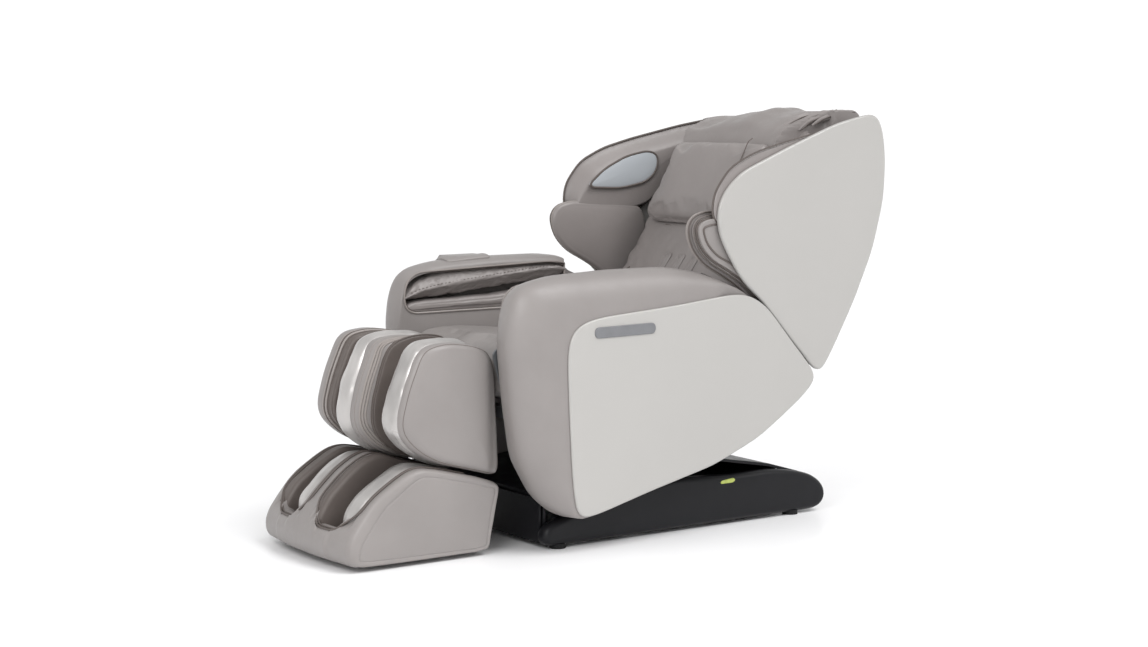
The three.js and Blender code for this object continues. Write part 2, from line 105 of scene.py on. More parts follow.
CALF_SIDE = [
    (180, 552), (254, 563), (328, 553), (373, 537), (398, 512), (404, 470), (416, 214), (404, 201),
    (371, 212), (222, 253), (164, 285), (121, 327), (112, 366), (136, 452),
]
CALF_DIVIDER = [
    (158, 556), (240, 563), (328, 553), (364, 540), (364, 216), (210, 246), (146, 276), (102, 322),
    (94, 368), (116, 452),
]
CALF_SILVER = [
    (178, 559), (250, 569), (320, 561), (352, 542), (354, 222), (230, 246), (158, 282), (112, 326),
    (102, 368), (126, 453),
]
DIVIDER_SILVER = [
    (154, 560), (236, 570), (320, 561), (352, 542), (354, 222), (212, 242), (140, 274), (92, 320),
    (80, 366), (102, 454),
]
CALF_LINING = [
    (170, 508), (190, 543), (232, 560), (283, 566), (340, 559), (366, 540), (364, 222), (213, 256),
    (158, 292), (132, 340), (136, 400),
]
CALF_BACK = [(365, 536), (382, 524), (398, 505), (404, 470), (414, 214), (404, 204), (365, 214)]

FOOT_FORMS = {
    "channel": [
        (372, 12), (30, 12), (-34, 13), (-56, 30), (-62, 62), (-54, 86), (-34, 99), (-8, 99), (10, 86),
        (26, 66), (66, 56), (200, 54), (300, 58), (338, 74), (362, 176), (384, 184), (404, 176),
    ],
    "centre": [
        (372, 12), (30, 12), (-34, 13), (-56, 30), (-62, 62), (-54, 92), (-30, 126), (10, 172), (60, 218),
        (108, 248), (150, 261), (184, 249), (251, 228), (361, 203), (388, 190), (404, 176),
    ],
    "wall": [
        (372, 12), (30, 12), (-34, 13), (-52, 30), (-56, 62), (-44, 94), (-16, 128), (24, 164), (65, 194),
        (110, 222), (145, 240), (175, 246), (222, 238), (341, 208), (394, 190), (408, 177),
    ],
}
FOOT_MARKS = {
    "channel": [(372, 12), (-34, 13), (-58, 80), (-24, 100), (40, 60), (330, 68), (404, 176)],
    "centre": [(372, 12), (-34, 13), (-58, 80), (-24, 133), (60, 218), (320, 212), (404, 176)],
    "wall": [(372, 12), (-34, 13), (-50, 80), (-14, 130), (60, 190), (320, 213), (408, 177)],
}
FOOT_COUNTS = [12, 14, 10, 14, 34, 12, 14]
FOOT_SILVER = [
    (0, 84), (-2, 130), (24, 170), (64, 199), (110, 227), (145, 245), (178, 251), (222, 241),
    (330, 210), (330, 84), (150, 72),
]
FOOT_DIVIDER_SILVER = [
    (-4, 86), (-8, 134), (10, 160), (56, 206), (104, 238), (148, 254), (184, 244), (251, 226),
    (330, 208), (330, 84), (150, 72),
]
FOOT_LINING_CENTRE = [
    (-16, 72), (-34, 110), (6, 170), (58, 218), (106, 250), (150, 264), (186, 250), (251, 229),
    (336, 208), (336, 76), (160, 62),
]
FOOT_LINING_WALL = [
    (-4, 76), (-16, 112), (22, 166), (64, 196), (110, 225), (145, 243), (176, 249), (222, 240),
    (336, 210), (336, 76), (160, 62),
]

BACK_SIDE = [
    (1583, 1140), (1607, 1089), (1618, 1005), (1612, 892), (1573, 752), (1507, 613), (1435, 490),
    (1381, 407), (1270, 521), (1168, 632), (1108, 681), (1066, 740), (1022, 814), (1014, 876),
    (1034, 926), (1094, 980), (1255, 1044), (1438, 1110),
]
SHELL_OUTER = [
    (1596, 1086), (1608, 1005), (1602, 893), (1564, 756), (1498, 618), (1428, 499), (1380, 420),
    (1330, 450),
]
WING_UPPER = [
    (1006, 858), (1014, 926), (1068, 992), (1150, 1030), (1250, 1056), (1434, 1094), (1560, 1114),
    (1572, 1084), (1440, 990), (1300, 852), (1180, 824), (1050, 828),
]
WING_LOWER = [
    (942, 824), (950, 852), (972, 869), (1010, 877), (1060, 874), (1180, 868), (1264, 858),
    (1286, 800), (1268, 720), (1220, 640), (1168, 620), (1120, 666), (1060, 702), (1000, 732),
    (958, 775),
]
SPEAKER = [
    (1062, 919), (1122, 968), (1200, 1004), (1280, 1020), (1318, 1008), (1312, 960), (1272, 930),
    (1180, 914),
]
HOOD = [
    (1332, 1034), (1346, 1064), (1374, 1102), (1430, 1128), (1500, 1143), (1572, 1142),
    (1592, 1122), (1580, 1100), (1500, 1108), (1420, 1080), (1372, 1050), (1350, 1026),
]
BASE_SIDE = [
    (505, 8), (512, 62), (560, 78), (785, 128), (950, 150), (1150, 136), (1276, 139), (1368, 128),
    (1440, 110), (1484, 78), (1494, 44), (1472, 8),
]
BASE_DECK = [(1170, 60), (1180, 124), (1290, 128), (1390, 112), (1446, 84), (1450, 40)]
GUSSET = [
    (1004, 482), (1022, 480), (1038, 486), (1050, 502), (1058, 522), (1066, 532), (1072, 522),
    (1064, 496), (1050, 474), (1032, 460), (1004, 458),
]
STATUS_LIGHT = [(1098, 117), (1100, 126), (1146, 130), (1152, 123), (1142, 117)]
SLOT = [(606, 563), (800, 565), (800, 594), (606, 592)]
SOLE = [(50, 0), (150, 0), (150, 262), (50, 262)]


# ---- scene ----
def placed(name, data):
    """A new object that holds data, linked to the scene."""
    thing = bpy.data.objects.new(name, data)
    bpy.context.scene.collection.objects.link(thing)
    return thing


def aim(thing, way, axis="-Z"):
    """Turns an object so that its axis points along way."""
    thing.rotation_mode = "QUATERNION"
    thing.rotation_quaternion = way.to_track_quat(axis, "Y")


def make_camera():
    """The camera stands in front of the chair's left side, a little above the seat."""
    data = bpy.data.cameras.new("view")
    data.sensor_width = SENSOR_WIDTH
    data.lens = SENSOR_WIDTH * FOCAL / IMAGE_WIDTH
    data.clip_start, data.clip_end = 0.1, 60
    camera = placed("view", data)
    camera.location = CAMERA_PLACE
    level = math.cos(CAMERA_PITCH)
    back = (math.sin(CAMERA_AZIMUTH) * level, -math.cos(CAMERA_AZIMUTH) * level, math.sin(CAMERA_PITCH))
    aim(camera, Vector(back), "Z")
    bpy.context.scene.camera = camera


# ---- outlines ----
def rounded(corners, radius, steps=6):
    """A closed outline whose corners are eased by quadratic arcs."""
    corners = np.asarray(corners, float)
    line = []
    for i, corner in enumerate(corners):
        before = corners[i - 1] - corner
        after = corners[(i + 1) % len(corners)] - corner
        reach_in, reach_out = np.linalg.norm(before), np.linalg.norm(after)
        start = corner + before / reach_in * min(radius, reach_in * 0.48)
        end = corner + after / reach_out * min(radius, reach_out * 0.48)
        for t in np.linspace(0, 1, steps):
            line.append((1 - t) ** 2 * start + 2 * t * (1 - t) * corner + t * t * end)
    return np.array(line)


def even(line, count, closed=True):
    """The same line as count points, evenly spread."""
    line = np.asarray(line, float)
    points = np.vstack([line, line[:1]]) if closed else line
    steps = np.linalg.norm(np.diff(points, axis=0), axis=1)
    at = np.concatenate([[0], np.cumsum(steps)])
    want = np.linspace(0, at[-1], count, endpoint=not closed)
    return np.stack([np.interp(want, at, points[:, k]) for k in range(points.shape[1])], 1)


def relaxed(values, passes):
    """A closed ring of values, smoothed."""
    for _ in range(passes):
        values = 0.5 * values + 0.25 * (np.roll(values, 1, 0) + np.roll(values, -1, 0))
    return values


def settled(path, passes):
    """An open line, smoothed between its two fixed ends."""
    for _ in range(passes):
        path[1:-1] = 0.5 * path[1:-1] + 0.25 * (path[2:] + path[:-2])
    return path


def eased(corners, radius=22, passes=5, count=RING):
    """A smooth closed outline through rounded corners, as count even points."""
    return relaxed(even(rounded(corners, radius), count), passes)


def inward(ring):
    """Unit vectors into a closed outline, at each of its points."""
    along = np.roll(ring, -1, 0) - np.roll(ring, 1, 0)
    normal = np.stack([-along[:, 1], along[:, 0]], 1)
    normal /= np.linalg.norm(normal, axis=1)[:, None] + 1e-9
    area = np.sum(ring[:, 0] * np.roll(ring[:, 1], -1) - np.roll(ring[:, 0], -1) * ring[:, 1])
    return normal if area > 0 else -normal


def shrunk(ring, distance):
    """An outline drawn in by a distance, one number or one for each point."""
    distance = np.broadcast_to(np.asarray(distance, float), len(ring))
    passes = int(min(40, np.abs(distance).max() / 2))
    return ring + relaxed(inward(ring) * distance[:, None], passes)


def anchored(line, marks, counts):
    """Resamples a closed line so that its marks keep fixed places in the ring."""
    found = [int(np.argmin(((line - np.array(mark)) ** 2).sum(1))) for mark in marks]
    parts = []
    for k, count in enumerate(counts):
        first, last = found[k], found[(k + 1) % len(found)]
        if last > first:
            span = line[first:last + 1]
        else:
            span = np.vstack([line[first:], line[:last + 1]])
        parts.append(even(span, count + 1, closed=False)[:-1])
    return np.vstack(parts)


def scaled(ring, share):
    """A ring drawn towards its own middle."""
    middle = ring.mean(0)
    return middle + (ring - middle) * share


def at_x(x, ring):
    """An outline in (y, z) placed at x, which may differ from point to point."""
    x = np.broadcast_to(np.asarray(x, float), len(ring))
    return np.column_stack([x, ring])


def at_y(y, ring):
    """An outline in (x, z) placed at y."""
    return np.insert(ring, 1, y, axis=1)


def leaned(points):
    """Points of the backrest's own upright frame, placed on the leaning back."""
    x, y, z = np.asarray(points, float).T
    across = BACK_ORIGIN[0] + LEAN_COS * y + LEAN_SIN * z
    return np.stack([x, across, BACK_ORIGIN[1] - LEAN_SIN * y + LEAN_COS * z], 1)


def local_back(point):
    """Where a chair point is in the backrest's own upright frame: (x, y, z)."""
    dy, dz = point[1] - BACK_ORIGIN[0], point[2] - BACK_ORIGIN[1]
    return point[0], LEAN_COS * dy - LEAN_SIN * dz, LEAN_SIN * dy + LEAN_COS * dz


def smoothstep(value, low, high):
    """0 below low, 1 above high, and an even S between."""
    t = np.clip((np.asarray(value, float) - low) / (high - low), 0, 1)
    return t * t * (3 - 2 * t)


# ---- meshes ----
def metres(points):
    """Chair points in the row frame."""
    return (np.asarray(points, float) - [0, MID_Y, 0]) * MM


def millimetres(place):
    """A mesh point in the chair's own millimetres."""
    return place / MM + Vector((0, MID_Y, 0))


def mesh_object(name, points, faces):
    """A smooth mesh in the row frame; creases sharper than SHARP stay crisp."""
    mesh = bpy.data.meshes.new(name)
    mesh.from_pydata([tuple(p) for p in metres(points)], [], faces)
    form = bmesh.new()
    form.from_mesh(mesh)
    bmesh.ops.remove_doubles(form, verts=form.verts, dist=2e-6)
    bmesh.ops.recalc_face_normals(form, faces=form.faces)
    for face in form.faces:
        face.smooth = True
    for edge in form.edges:
        edge.smooth = edge.calc_face_angle(0) < SHARP
    form.to_mesh(mesh)
    form.free()
    return placed(name, mesh)


def skin(name, rings):
    """A closed body through rings of equal count, capped at both ends."""
    count = len(rings[0])
    points = list(np.vstack(rings))
    faces = []
    for low in range(0, (len(rings) - 1) * count, count):
        for i in range(count):
            j = (i + 1) % count
            faces.append((low + i, low + j, low + count + j, low + count + i))
    for k in (0, len(rings) - 1):
        hub = len(points)
        points.append(rings[k].mean(0))
        faces += [(hub, k * count + i, k * count + (i + 1) % count) for i in range(count)]
    return mesh_object(name, points, faces)


def face_rings(ring, x, out, edge, spread, crown, groove):
    """Rings of one side face, from its rim to near its middle. out is the side it faces, +1 or -1."""
    rows = []
    for t in np.linspace(math.pi / 2, 0, 8):
        rows.append(at_x(x - out * edge * (1 - math.cos(t)), shrunk(ring, spread * (1 - math.sin(t)))))
    last = spread
    if groove:
        place, depth = groove
        for step, share in ((-3, 0), (-1.6, 0.5), (0, 1), (1.6, 0.5), (3, 0)):
            last = spread + place + step
            rows.append(at_x(x - out * depth * share, shrunk(ring, last)))
    inner = shrunk(ring, last)
    for share in CAP_SCALES:
        rise = crown * (1 - share ** 2) ** 0.8
        rows.append(at_x(x + out * rise, scaled(inner, share)))
    return rows


def slab_rings(ring, x0, x1, edge=(10, 10), spread=None, crown=(0, 0), groove=(None, None), belly=0):
    """Rings of a cushion-like slab between x0 and x1, each face with its own rim and crown."""
    spread = spread or edge
    turn = 1 if x1 > x0 else -1
    first = face_rings(ring, x0, -turn, edge[0], spread[0], crown[0], groove[0])
    last = face_rings(ring, x1, turn, edge[1], spread[1], crown[1], groove[1])
    a, b = x0 + turn * edge[0], x1 - turn * edge[1]
    sides = []
    for t in np.linspace(0, 1, 7)[1:-1]:
        sides.append(at_x(a + (b - a) * t, shrunk(ring, -belly * math.sin(math.pi * t))))
    return first[::-1] + sides + last


def plate(name, ring, x0, x1, **shape):
    """A slab from x0 to x1 whose outline is a ring that is already smooth."""
    return skin(name, slab_rings(ring, x0, x1, **shape))


def slab(name, corners, x0, x1, radius=22, passes=5, **shape):
    """A slab from x0 to x1 whose outline is given by its corners."""
    return plate(name, eased(corners, radius, passes), x0, x1, **shape)


def tube_points(path, radius, closed):
    """Points and faces of a round tube along a path."""
    sides = TUBE_SIDES
    path = np.asarray(path, float)
    if closed:
        along = np.roll(path, -1, 0) - np.roll(path, 1, 0)
    else:
        along = np.gradient(path, axis=0)
    along /= np.linalg.norm(along, axis=1)[:, None] + 1e-9
    side = np.cross(along[0], (0.3, 0.2, 0.93))
    points = []
    radii = np.broadcast_to(radius, len(path))
    for place, way, reach in zip(path, along, radii):
        side = side - way * np.dot(side, way)
        side /= np.linalg.norm(side) + 1e-9
        up = np.cross(way, side)
        for k in range(sides):
            turn = 2 * math.pi * k / sides
            points.append(place + reach * (math.cos(turn) * side + math.sin(turn) * up))
    count = len(path)
    faces = []
    for i in range(count if closed else count - 1):
        a, b = i * sides, ((i + 1) % count) * sides
        faces += [(a + k, a + (k + 1) % sides, b + (k + 1) % sides, b + k) for k in range(sides)]
    if not closed:
        faces.append(tuple(range(sides)))
        faces.append(tuple(range((count - 1) * sides, count * sides)))
    return points, faces


def tubes(name, runs):
    """One piece made of several tubes: runs are (path, radius, closed)."""
    points, faces = [], []
    for path, radius, closed in runs:
        more, skins = tube_points(path, radius, closed)
        faces += [tuple(len(points) + v for v in face) for face in skins]
        points += more
    return mesh_object(name, points, faces)


def ruffle(piece, amount, wave, seed=0, ridged=False, where=None):
    """Pushes a piece's surface in and out along its normals by smooth noise. Millimetres."""
    mesh = piece.data
    shift = Vector((seed * 7.3, seed * 3.1, seed * 5.7))
    moves = []
    for vertex in mesh.vertices:
        level = noise.noise(vertex.co / (wave * MM) + shift)
        if ridged:
            level = 1 - 2 * abs(level) * 1.6
        share = where(millimetres(vertex.co)) if where else 1
        moves.append(vertex.normal * (amount * MM * level * share))
    for vertex, move in zip(mesh.vertices, moves):
        vertex.co += move
    mesh.update()
    return piece


def evaluated(piece):
    """Fixes a piece's modifiers into its mesh."""
    graph = bpy.context.evaluated_depsgraph_get()
    mesh = bpy.data.meshes.new_from_object(piece.evaluated_get(graph))
    piece.modifiers.clear()
    piece.data = mesh
    for face in mesh.polygons:
        face.use_smooth = True


def inflate(piece, held, pressure, cap, voxel):
    """held(point in mm) is 1 where the piece is sewn down.
    """
    remesh = piece.modifiers.new("Even", "REMESH")
    remesh.mode = "VOXEL"
    remesh.voxel_size = voxel * MM
    evaluated(piece)
    rest = np.array([v.co for v in piece.data.vertices])
    group = piece.vertex_groups.new(name="held")
    for index, place in enumerate(rest):
        group.add([index], float(held(place / MM + np.array([0, MID_Y, 0]))), "REPLACE")
    cloth = piece.modifiers.new("Cloth", "CLOTH")
    settings = cloth.settings
    settings.quality = 5
    settings.mass = 0.3
    settings.tension_stiffness = settings.compression_stiffness = 18
    settings.bending_stiffness = 0.6
    settings.shrink_min = -0.06
    settings.use_pressure = True
    settings.uniform_pressure_force = pressure
    settings.effector_weights.gravity = 0
    settings.vertex_group_mass = "held"
    cloth.collision_settings.use_collision = False
    scene = bpy.context.scene
    for frame_number in range(1, CLOTH_FRAMES + 1):
        scene.frame_set(frame_number)
    evaluated(piece)
    scene.frame_set(1)
    moved = np.array([v.co for v in piece.data.vertices])
    step = moved - rest
    size = np.linalg.norm(step, axis=1)
    step *= np.minimum(1, cap * MM / np.maximum(size, 1e-9))[:, None]
    for vertex, place in zip(piece.data.vertices, rest + step):
        vertex.co = place
    smooth = piece.modifiers.new("Ease", "SMOOTH")
    smooth.factor, smooth.iterations = 0.5, 2
    fine = piece.modifiers.new("Fine", "SUBSURF")
    fine.levels = fine.render_levels = 1
    evaluated(piece)


# ---- materials ----
class Look:
    """A node material around one Principled shader."""

    def __init__(self, name, color, roughness, metallic=0.0):
        self.material = bpy.data.materials.new(name)
        self.material.use_nodes = True
        self.nodes = self.material.node_tree.nodes
        self.shader = self.nodes["Principled BSDF"]
        self.set(Roughness=roughness, Metallic=metallic)
        self.color = color
        self.bump = None
        self.place = self.add("ShaderNodeTexCoord").outputs["Object"]

    def set(self, **values):
        """Sets the shader's own inputs, named with _ for a space."""
        for name, value in values.items():
            self.shader.inputs[name.replace("_", " ")].default_value = value

    def add(self, kind, **inputs):
        """A new node with its inputs set."""
        node = self.nodes.new(kind)
        for name, value in inputs.items():
            node.inputs[name.replace("_", " ")].default_value = value
        return node

    def link(self, source, target):
        self.material.node_tree.links.new(source, target)

    def noise(self, scale, detail, stretch=None):
        """Smooth noise over the surface, stretched along an axis where stretch says so."""
        node = self.add("ShaderNodeTexNoise", Scale=scale, Detail=detail)
        source = self.place
        if stretch:
            mapping = self.add("ShaderNodeMapping", Scale=stretch)
            self.link(source, mapping.inputs["Vector"])
            source = mapping.outputs["Vector"]
        self.link(source, node.inputs["Vector"])
        return node.outputs["Fac"]

    def cells(self, scale):
        """The distance to the nearest edge of a cell, for leather grain."""
        node = self.add("ShaderNodeTexVoronoi", Scale=scale)
        node.feature = "DISTANCE_TO_EDGE"
        self.link(self.place, node.inputs["Vector"])
        return node.outputs["Distance"]

    def spread(self, source, low, high):
        """Noise's usual range, 0.3 to 0.7, spread over low to high."""
        node = self.add("ShaderNodeMapRange", From_Min=0.3, From_Max=0.7, To_Min=low, To_Max=high)
        self.link(source, node.inputs["Value"])
        return node.outputs["Result"]

    def tint(self, source, amount):
        """Colour that wanders a little darker and lighter with source."""
        mix = self.nodes.new("ShaderNodeMix")
        mix.data_type = "RGBA"
        shares = {"A": 1 - amount, "B": 1 + amount}
        for socket in mix.inputs:
            if socket.type == "RGBA":
                tone = [min(1.0, c * shares[socket.name]) for c in self.color]
                socket.default_value = (*tone, 1)
        self.link(self.spread(source, 0, 1), mix.inputs["Factor"])
        result = next(s for s in mix.outputs if s.type == "RGBA")
        self.link(result, self.shader.inputs["Base Color"])

    def relief(self, source, strength, distance):
        """Adds a bump on top of the ones already there."""
        node = self.add("ShaderNodeBump", Strength=strength, Distance=distance)
        self.link(source, node.inputs["Height"])
        if self.bump is not None:
            self.link(self.bump, node.inputs["Normal"])
        self.bump = node.outputs["Normal"]
        self.link(self.bump, self.shader.inputs["Normal"])

    def vary_roughness(self, source, low, high):
        """Roughness that wanders between low and high with source."""
        self.link(self.spread(source, low, high), self.shader.inputs["Roughness"])


def shade(hex_code):
    """A screen colour as linear light."""
    values = [int(hex_code[i:i + 2], 16) / 255 for i in (0, 2, 4)]
    return tuple(v / 12.92 if v <= 0.04045 else ((v + 0.055) / 1.055) ** 2.4 for v in values)


def leather(name, hex_code, roughness=0.42):
    """Smooth upholstery leather: soft unevenness, fine cells and a faint coat."""
    grain = 0.22
    look = Look(name, shade(hex_code), roughness)
    look.tint(look.noise(7, 4), 0.045)
    look.vary_roughness(look.noise(60, 3), roughness - 0.05, roughness + 0.06)
    look.relief(look.noise(16, 2), 0.5, 0.0016)
    look.relief(look.cells(620), grain, 0.00022)
    look.relief(look.noise(1500, 2), grain * 0.6, 0.00012)
    look.set(Coat_Weight=0.08, Coat_Roughness=0.35, Specular_IOR_Level=0.45)
    return look.material


def painted_reflection_pearl(name, hex_code):
    """Thin leather that gathers in soft wrinkles. Its pale grey colour is a painted reflection of a bright
    side light, and its strong colour wander paints bright and dark reflection patches.
    """
    look = Look(name, shade(hex_code), 0.3, 0.45)
    # strong colour wander: painted bright and dark reflection patches
    look.tint(look.noise(11, 2, (1.0, 1.0, 0.6)), 0.26)
    look.vary_roughness(look.noise(5, 1), 0.25, 0.36)
    look.relief(look.noise(26, 1, (1.6, 1.0, 0.5)), 0.45, 0.004)
    look.relief(look.noise(70, 1, (1.0, 1.0, 0.4)), 0.2, 0.0014)
    return look.material


def lacquer(name, hex_code, roughness=0.3):
    """Satin lacquer, all but even."""
    look = Look(name, shade(hex_code), roughness)
    look.tint(look.noise(3, 2), 0.012)
    look.vary_roughness(look.noise(5, 1), roughness - 0.02, roughness + 0.03)
    look.relief(look.noise(240, 1), 0.01, 0.0001)
    look.set(Coat_Weight=0.25, Coat_Roughness=0.16)
    return look.material


def plastic(name, hex_code, roughness, grain=0.25):
    """Moulded plastic or rubber with a fine grain."""
    look = Look(name, shade(hex_code), roughness)
    look.tint(look.noise(12, 3), 0.06)
    look.vary_roughness(look.noise(35, 4), roughness - 0.05, roughness + 0.07)
    look.relief(look.noise(900, 2), grain, 0.00015)
    look.set(Specular_IOR_Level=0.22)
    return look.material


def metal(name, hex_code, roughness, metallic):
    """Brushed or coated metal."""
    look = Look(name, shade(hex_code), roughness, metallic)
    look.tint(look.noise(30, 4), 0.05)
    look.vary_roughness(look.noise(120, 4, (1, 8, 8)), roughness - 0.07, roughness + 0.1)
    look.relief(look.noise(400, 3, (1, 10, 10)), 0.12, 0.0001)
    return look.material


def lit(name, hex_code, strength):
    """A status light's lens."""
    look = Look(name, shade(hex_code), 0.25)
    look.tint(look.noise(60, 2), 0.15)
    look.set(Emission_Color=(*shade(hex_code), 1), Emission_Strength=strength)
    return look.material


def make_looks():
    """Every look, by the short name that dress() takes."""
    return {
        "taupe": leather("leather_taupe", "8B8684"),
        "taupe_dark": leather("leather_taupe_dark", "8B8583"),
        # dark colour: painted shade on the channel linings, the shaded copy of the airbags' leather; also
        # used for the calf unit's back, the sole pads and the back window
        "brown": leather("leather_painted_shade_and_brown", "5E5652", 0.5),
        "seam": leather("seam_thread", "6A615D", 0.6),
        "piping": leather("piping_taupe", "928B87", 0.45),
        # dark piping, and also dark tubes and sheets of painted shade: the hood's fold gap lines, the
        # shoulder sheets and the back's pleat lines
        "dark_piping_and_shade": leather("dark_piping_and_shade", "5C5450", 0.5),
        # airbags: pale grey colour painted as a reflection, the lit copy of the linings' leather
        "silver": painted_reflection_pearl("leather_painted_reflection_pearl", "B3B0AE"),
        "white": lacquer("lacquer_white", "AEACA9"),
        "slot": metal("slot_trim", "77787B", 0.4, 0.2),
        "lens": lacquer("speaker_lens", "B4B9BE", 0.22),
        "charcoal": plastic("plastic_charcoal", "17171A", 0.38),
        "steel": metal("steel_painted", "7F8286", 0.4, 0.7),
        "rubber": plastic("rubber_black", "1D1D1E", 0.75, 0.5),
        "device": plastic("device_grey", "404246", 0.5),
        "glow": lit("status_glow", "A9B45A", 0.12),
    }


def dress(piece, body, look, replaces=()):
    """Gives a piece its material and its body, and hides the CAD parts it replaces."""
    piece.data.materials.clear()
    piece.data.materials.append(LOOKS[look])
    if body:  # a piece given no body stays unattached
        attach(piece, body)
    if replaces:
        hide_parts(*replaces)
    return piece


def trim(name, runs, body, look):
    """Piping, seams or straps: one dressed piece made of tubes."""
    dress(tubes(name, runs), body, look)


# ---- arms ----
def inner_face(y):
    """The arm's inner face, which steps outwards behind the forearm pads to clear the wings."""
    return ARM_IN + 75 * smoothstep(y, 935, 985)


def arm_rings(side):
    """From the trough's floor over its lip and the crest to the panel. The right arm ends lower."""
    outer = anchored(eased(ARM_SIDE, 30, 6, 720), ARM_MARKS, MARK_COUNTS)
    panel = anchored(eased(PANEL_SIDE, 24, 6, 720), PANEL_MARKS, MARK_COUNTS)
    mouth = anchored(eased(TROUGH, 26, 6, 720), TROUGH_MARKS, MARK_COUNTS)
    rows = [at_x(TROUGH_X, scaled(mouth, share)) for share in (0.1, 0.5, 0.85)]
    rows += [at_x(TROUGH_X, shrunk(mouth, 8)), at_x(TROUGH_X - 3, shrunk(mouth, 2))]
    rows += [at_x(x, mouth) for x in (TROUGH_X - 10, 300, 280, 266)]
    for t in np.linspace(0, math.pi / 2, 6):
        lip = 10 * (1 - math.cos(t))
        rows.append(at_x(ARM_IN + 14 - 14 * math.sin(t), shrunk(mouth, -lip)))
    rim_inset = 14 + 8 * smoothstep(outer[:, 0], 400, 460)
    rim = shrunk(outer, rim_inset)
    lip_ring = shrunk(mouth, -10)
    rows += [at_x(ARM_IN, lip_ring + (rim - lip_ring) * t) for t in (0.12, 0.3, 0.5, 0.7, 0.9)]
    for t in np.linspace(math.pi / 2, 0, 9):
        inset = rim_inset * (1 - math.cos(t))
        rows.append(at_x(ARM_CREST + (ARM_IN - ARM_CREST) * math.sin(t), shrunk(outer, inset)))
    for t in np.linspace(0, math.pi / 2, 22)[1:]:
        share = 1 - math.cos(t)
        x = ARM_CREST + (ARM_OUT - ARM_CREST) * math.sin(t)
        rows.append(at_x(x, outer + (panel - outer) * share))
    rows += [at_x(ARM_OUT, scaled(panel, share)) for share in (0.98, 0.6, 0.1)]
    for row in rows:
        limit = ARM_OUT - (ARM_OUT - ARM_REAR_OUT) * smoothstep(row[:, 1], 1010, 1060)
        row[:, 0] = np.clip(row[:, 0], inner_face(row[:, 1]), limit) * side
        row[:, 1] = np.minimum(row[:, 1], 1285)
        if side < 0:
            row[:, 2] -= 34 * smoothstep(row[:, 1], 940, 1010) * smoothstep(row[:, 2], 640, 700)
    return rows, mouth


def flap_section(y):
    """The forearm flap's (x, z) section at y: a wedge whose ridge looks at the sitter."""
    top, ridge, low = (np.interp(y, FLAP_Y, heights) for heights in (FLAP_TOP, FLAP_RIDGE, FLAP_LOW))
    corners = [
        (ARM_IN + 56, low + 6), (ARM_IN + 24, low), (ARM_IN - 2, ridge - 2), (ARM_IN - 2, ridge + 2),
        (ARM_IN + 16, top - 5), (ARM_IN + 44, top), (ARM_IN + 72, top - 6), (ARM_IN + 74, low + 10),
    ]
    return even(rounded(corners, 7), 72)


def make_forearm_flap(name, side):
    """The wrinkled flap of soft leather that covers the forearm's air cushion."""
    stations = [np.linspace(408, 440, 9), np.linspace(446, 925, 81), np.linspace(929, 952, 9)]
    rows = []
    for y in np.concatenate(stations):
        end = 1 - 0.5 * (1 - math.sqrt(1 - max(0.0, (y - 925) / 27.5) ** 2))
        rows.append(at_y(y, scaled(flap_section(y), end) * [side, 1]))
    flap = skin(f"forearm_pad_upper_{name}", rows)
    ruffle(flap, 2.4, 42, 3)
    ruffle(flap, 1.6, 15, 5, ridged=True)
    dress(flap, "seat", "taupe_dark", [f"forearm_airbag_{name}"])
    stitch = []
    for y in np.linspace(430, 930, 42):
        section = flap_section(y)
        spot = np.array([side * section[:, 0].min(), y, np.interp(y, FLAP_Y, FLAP_RIDGE) + 5])
        stitch.append((spot + [[side * 1.2, -2.5, 1.4], [side * 1.2, 2.5, 1.8]], 0.9, False))
    trim(f"forearm_stitch_{name}", stitch, "seat", "seam")


def make_arms():
    """Each arm: its leather shell with piping, forearm pads, side panel and the panel's trim bar."""
    for name, side in SIDES:
        rows, mouth = arm_rings(side)
        dress(skin(f"arm_shell_{name}", rows), "seat", "taupe", [f"arm_{name}"])
        for piece, grow, sink, radius, look in (
            ("arm_lip_piping", 7, -1.0, 2.6, "piping"), ("arm_mouth_line", 2, 3.5, 1.8, "dark_piping_and_shade"),
        ):
            line = shrunk(mouth, -grow)
            line[:, 0] = np.minimum(line[:, 0], LIP_END)
            path = at_x(side * (inner_face(line[:, 0]) + sink), line)
            trim(f"{piece}_{name}", [(path, radius, True)], "seat", look)
        make_forearm_flap(name, side)
        lower = slab(
            f"forearm_pad_lower_{name}", ARM_PAD_LOWER, side * (ARM_IN + 6), side * (ARM_IN + 78), 14, 3,
            crown=(4, 0), belly=2,
        )
        ruffle(lower, 1.6, 52, 8)
        ruffle(lower, 0.9, 18, 9)
        dress(lower, "seat", "taupe_dark", ())

        panel = slab(
            f"arm_side_panel_{name}", PANEL_SIDE, side * (ARM_OUT + 0.4), side * (ARM_OUT + 6.3), 24, 6,
            edge=(1, 5), crown=(0, 2.2),
        )
        dress(panel, "seat", "white", [f"arm_panel_{name}"])
        bar = slab(
            f"slot_trim_bar_{name}", SLOT, side * (ARM_OUT + 4), side * (ARM_OUT + 10.5), 14, 1,
            edge=(1, 2.5), crown=(0, -1.4),
        )
        dress(bar, "seat", "slot", [f"slot_trim_{name}"])


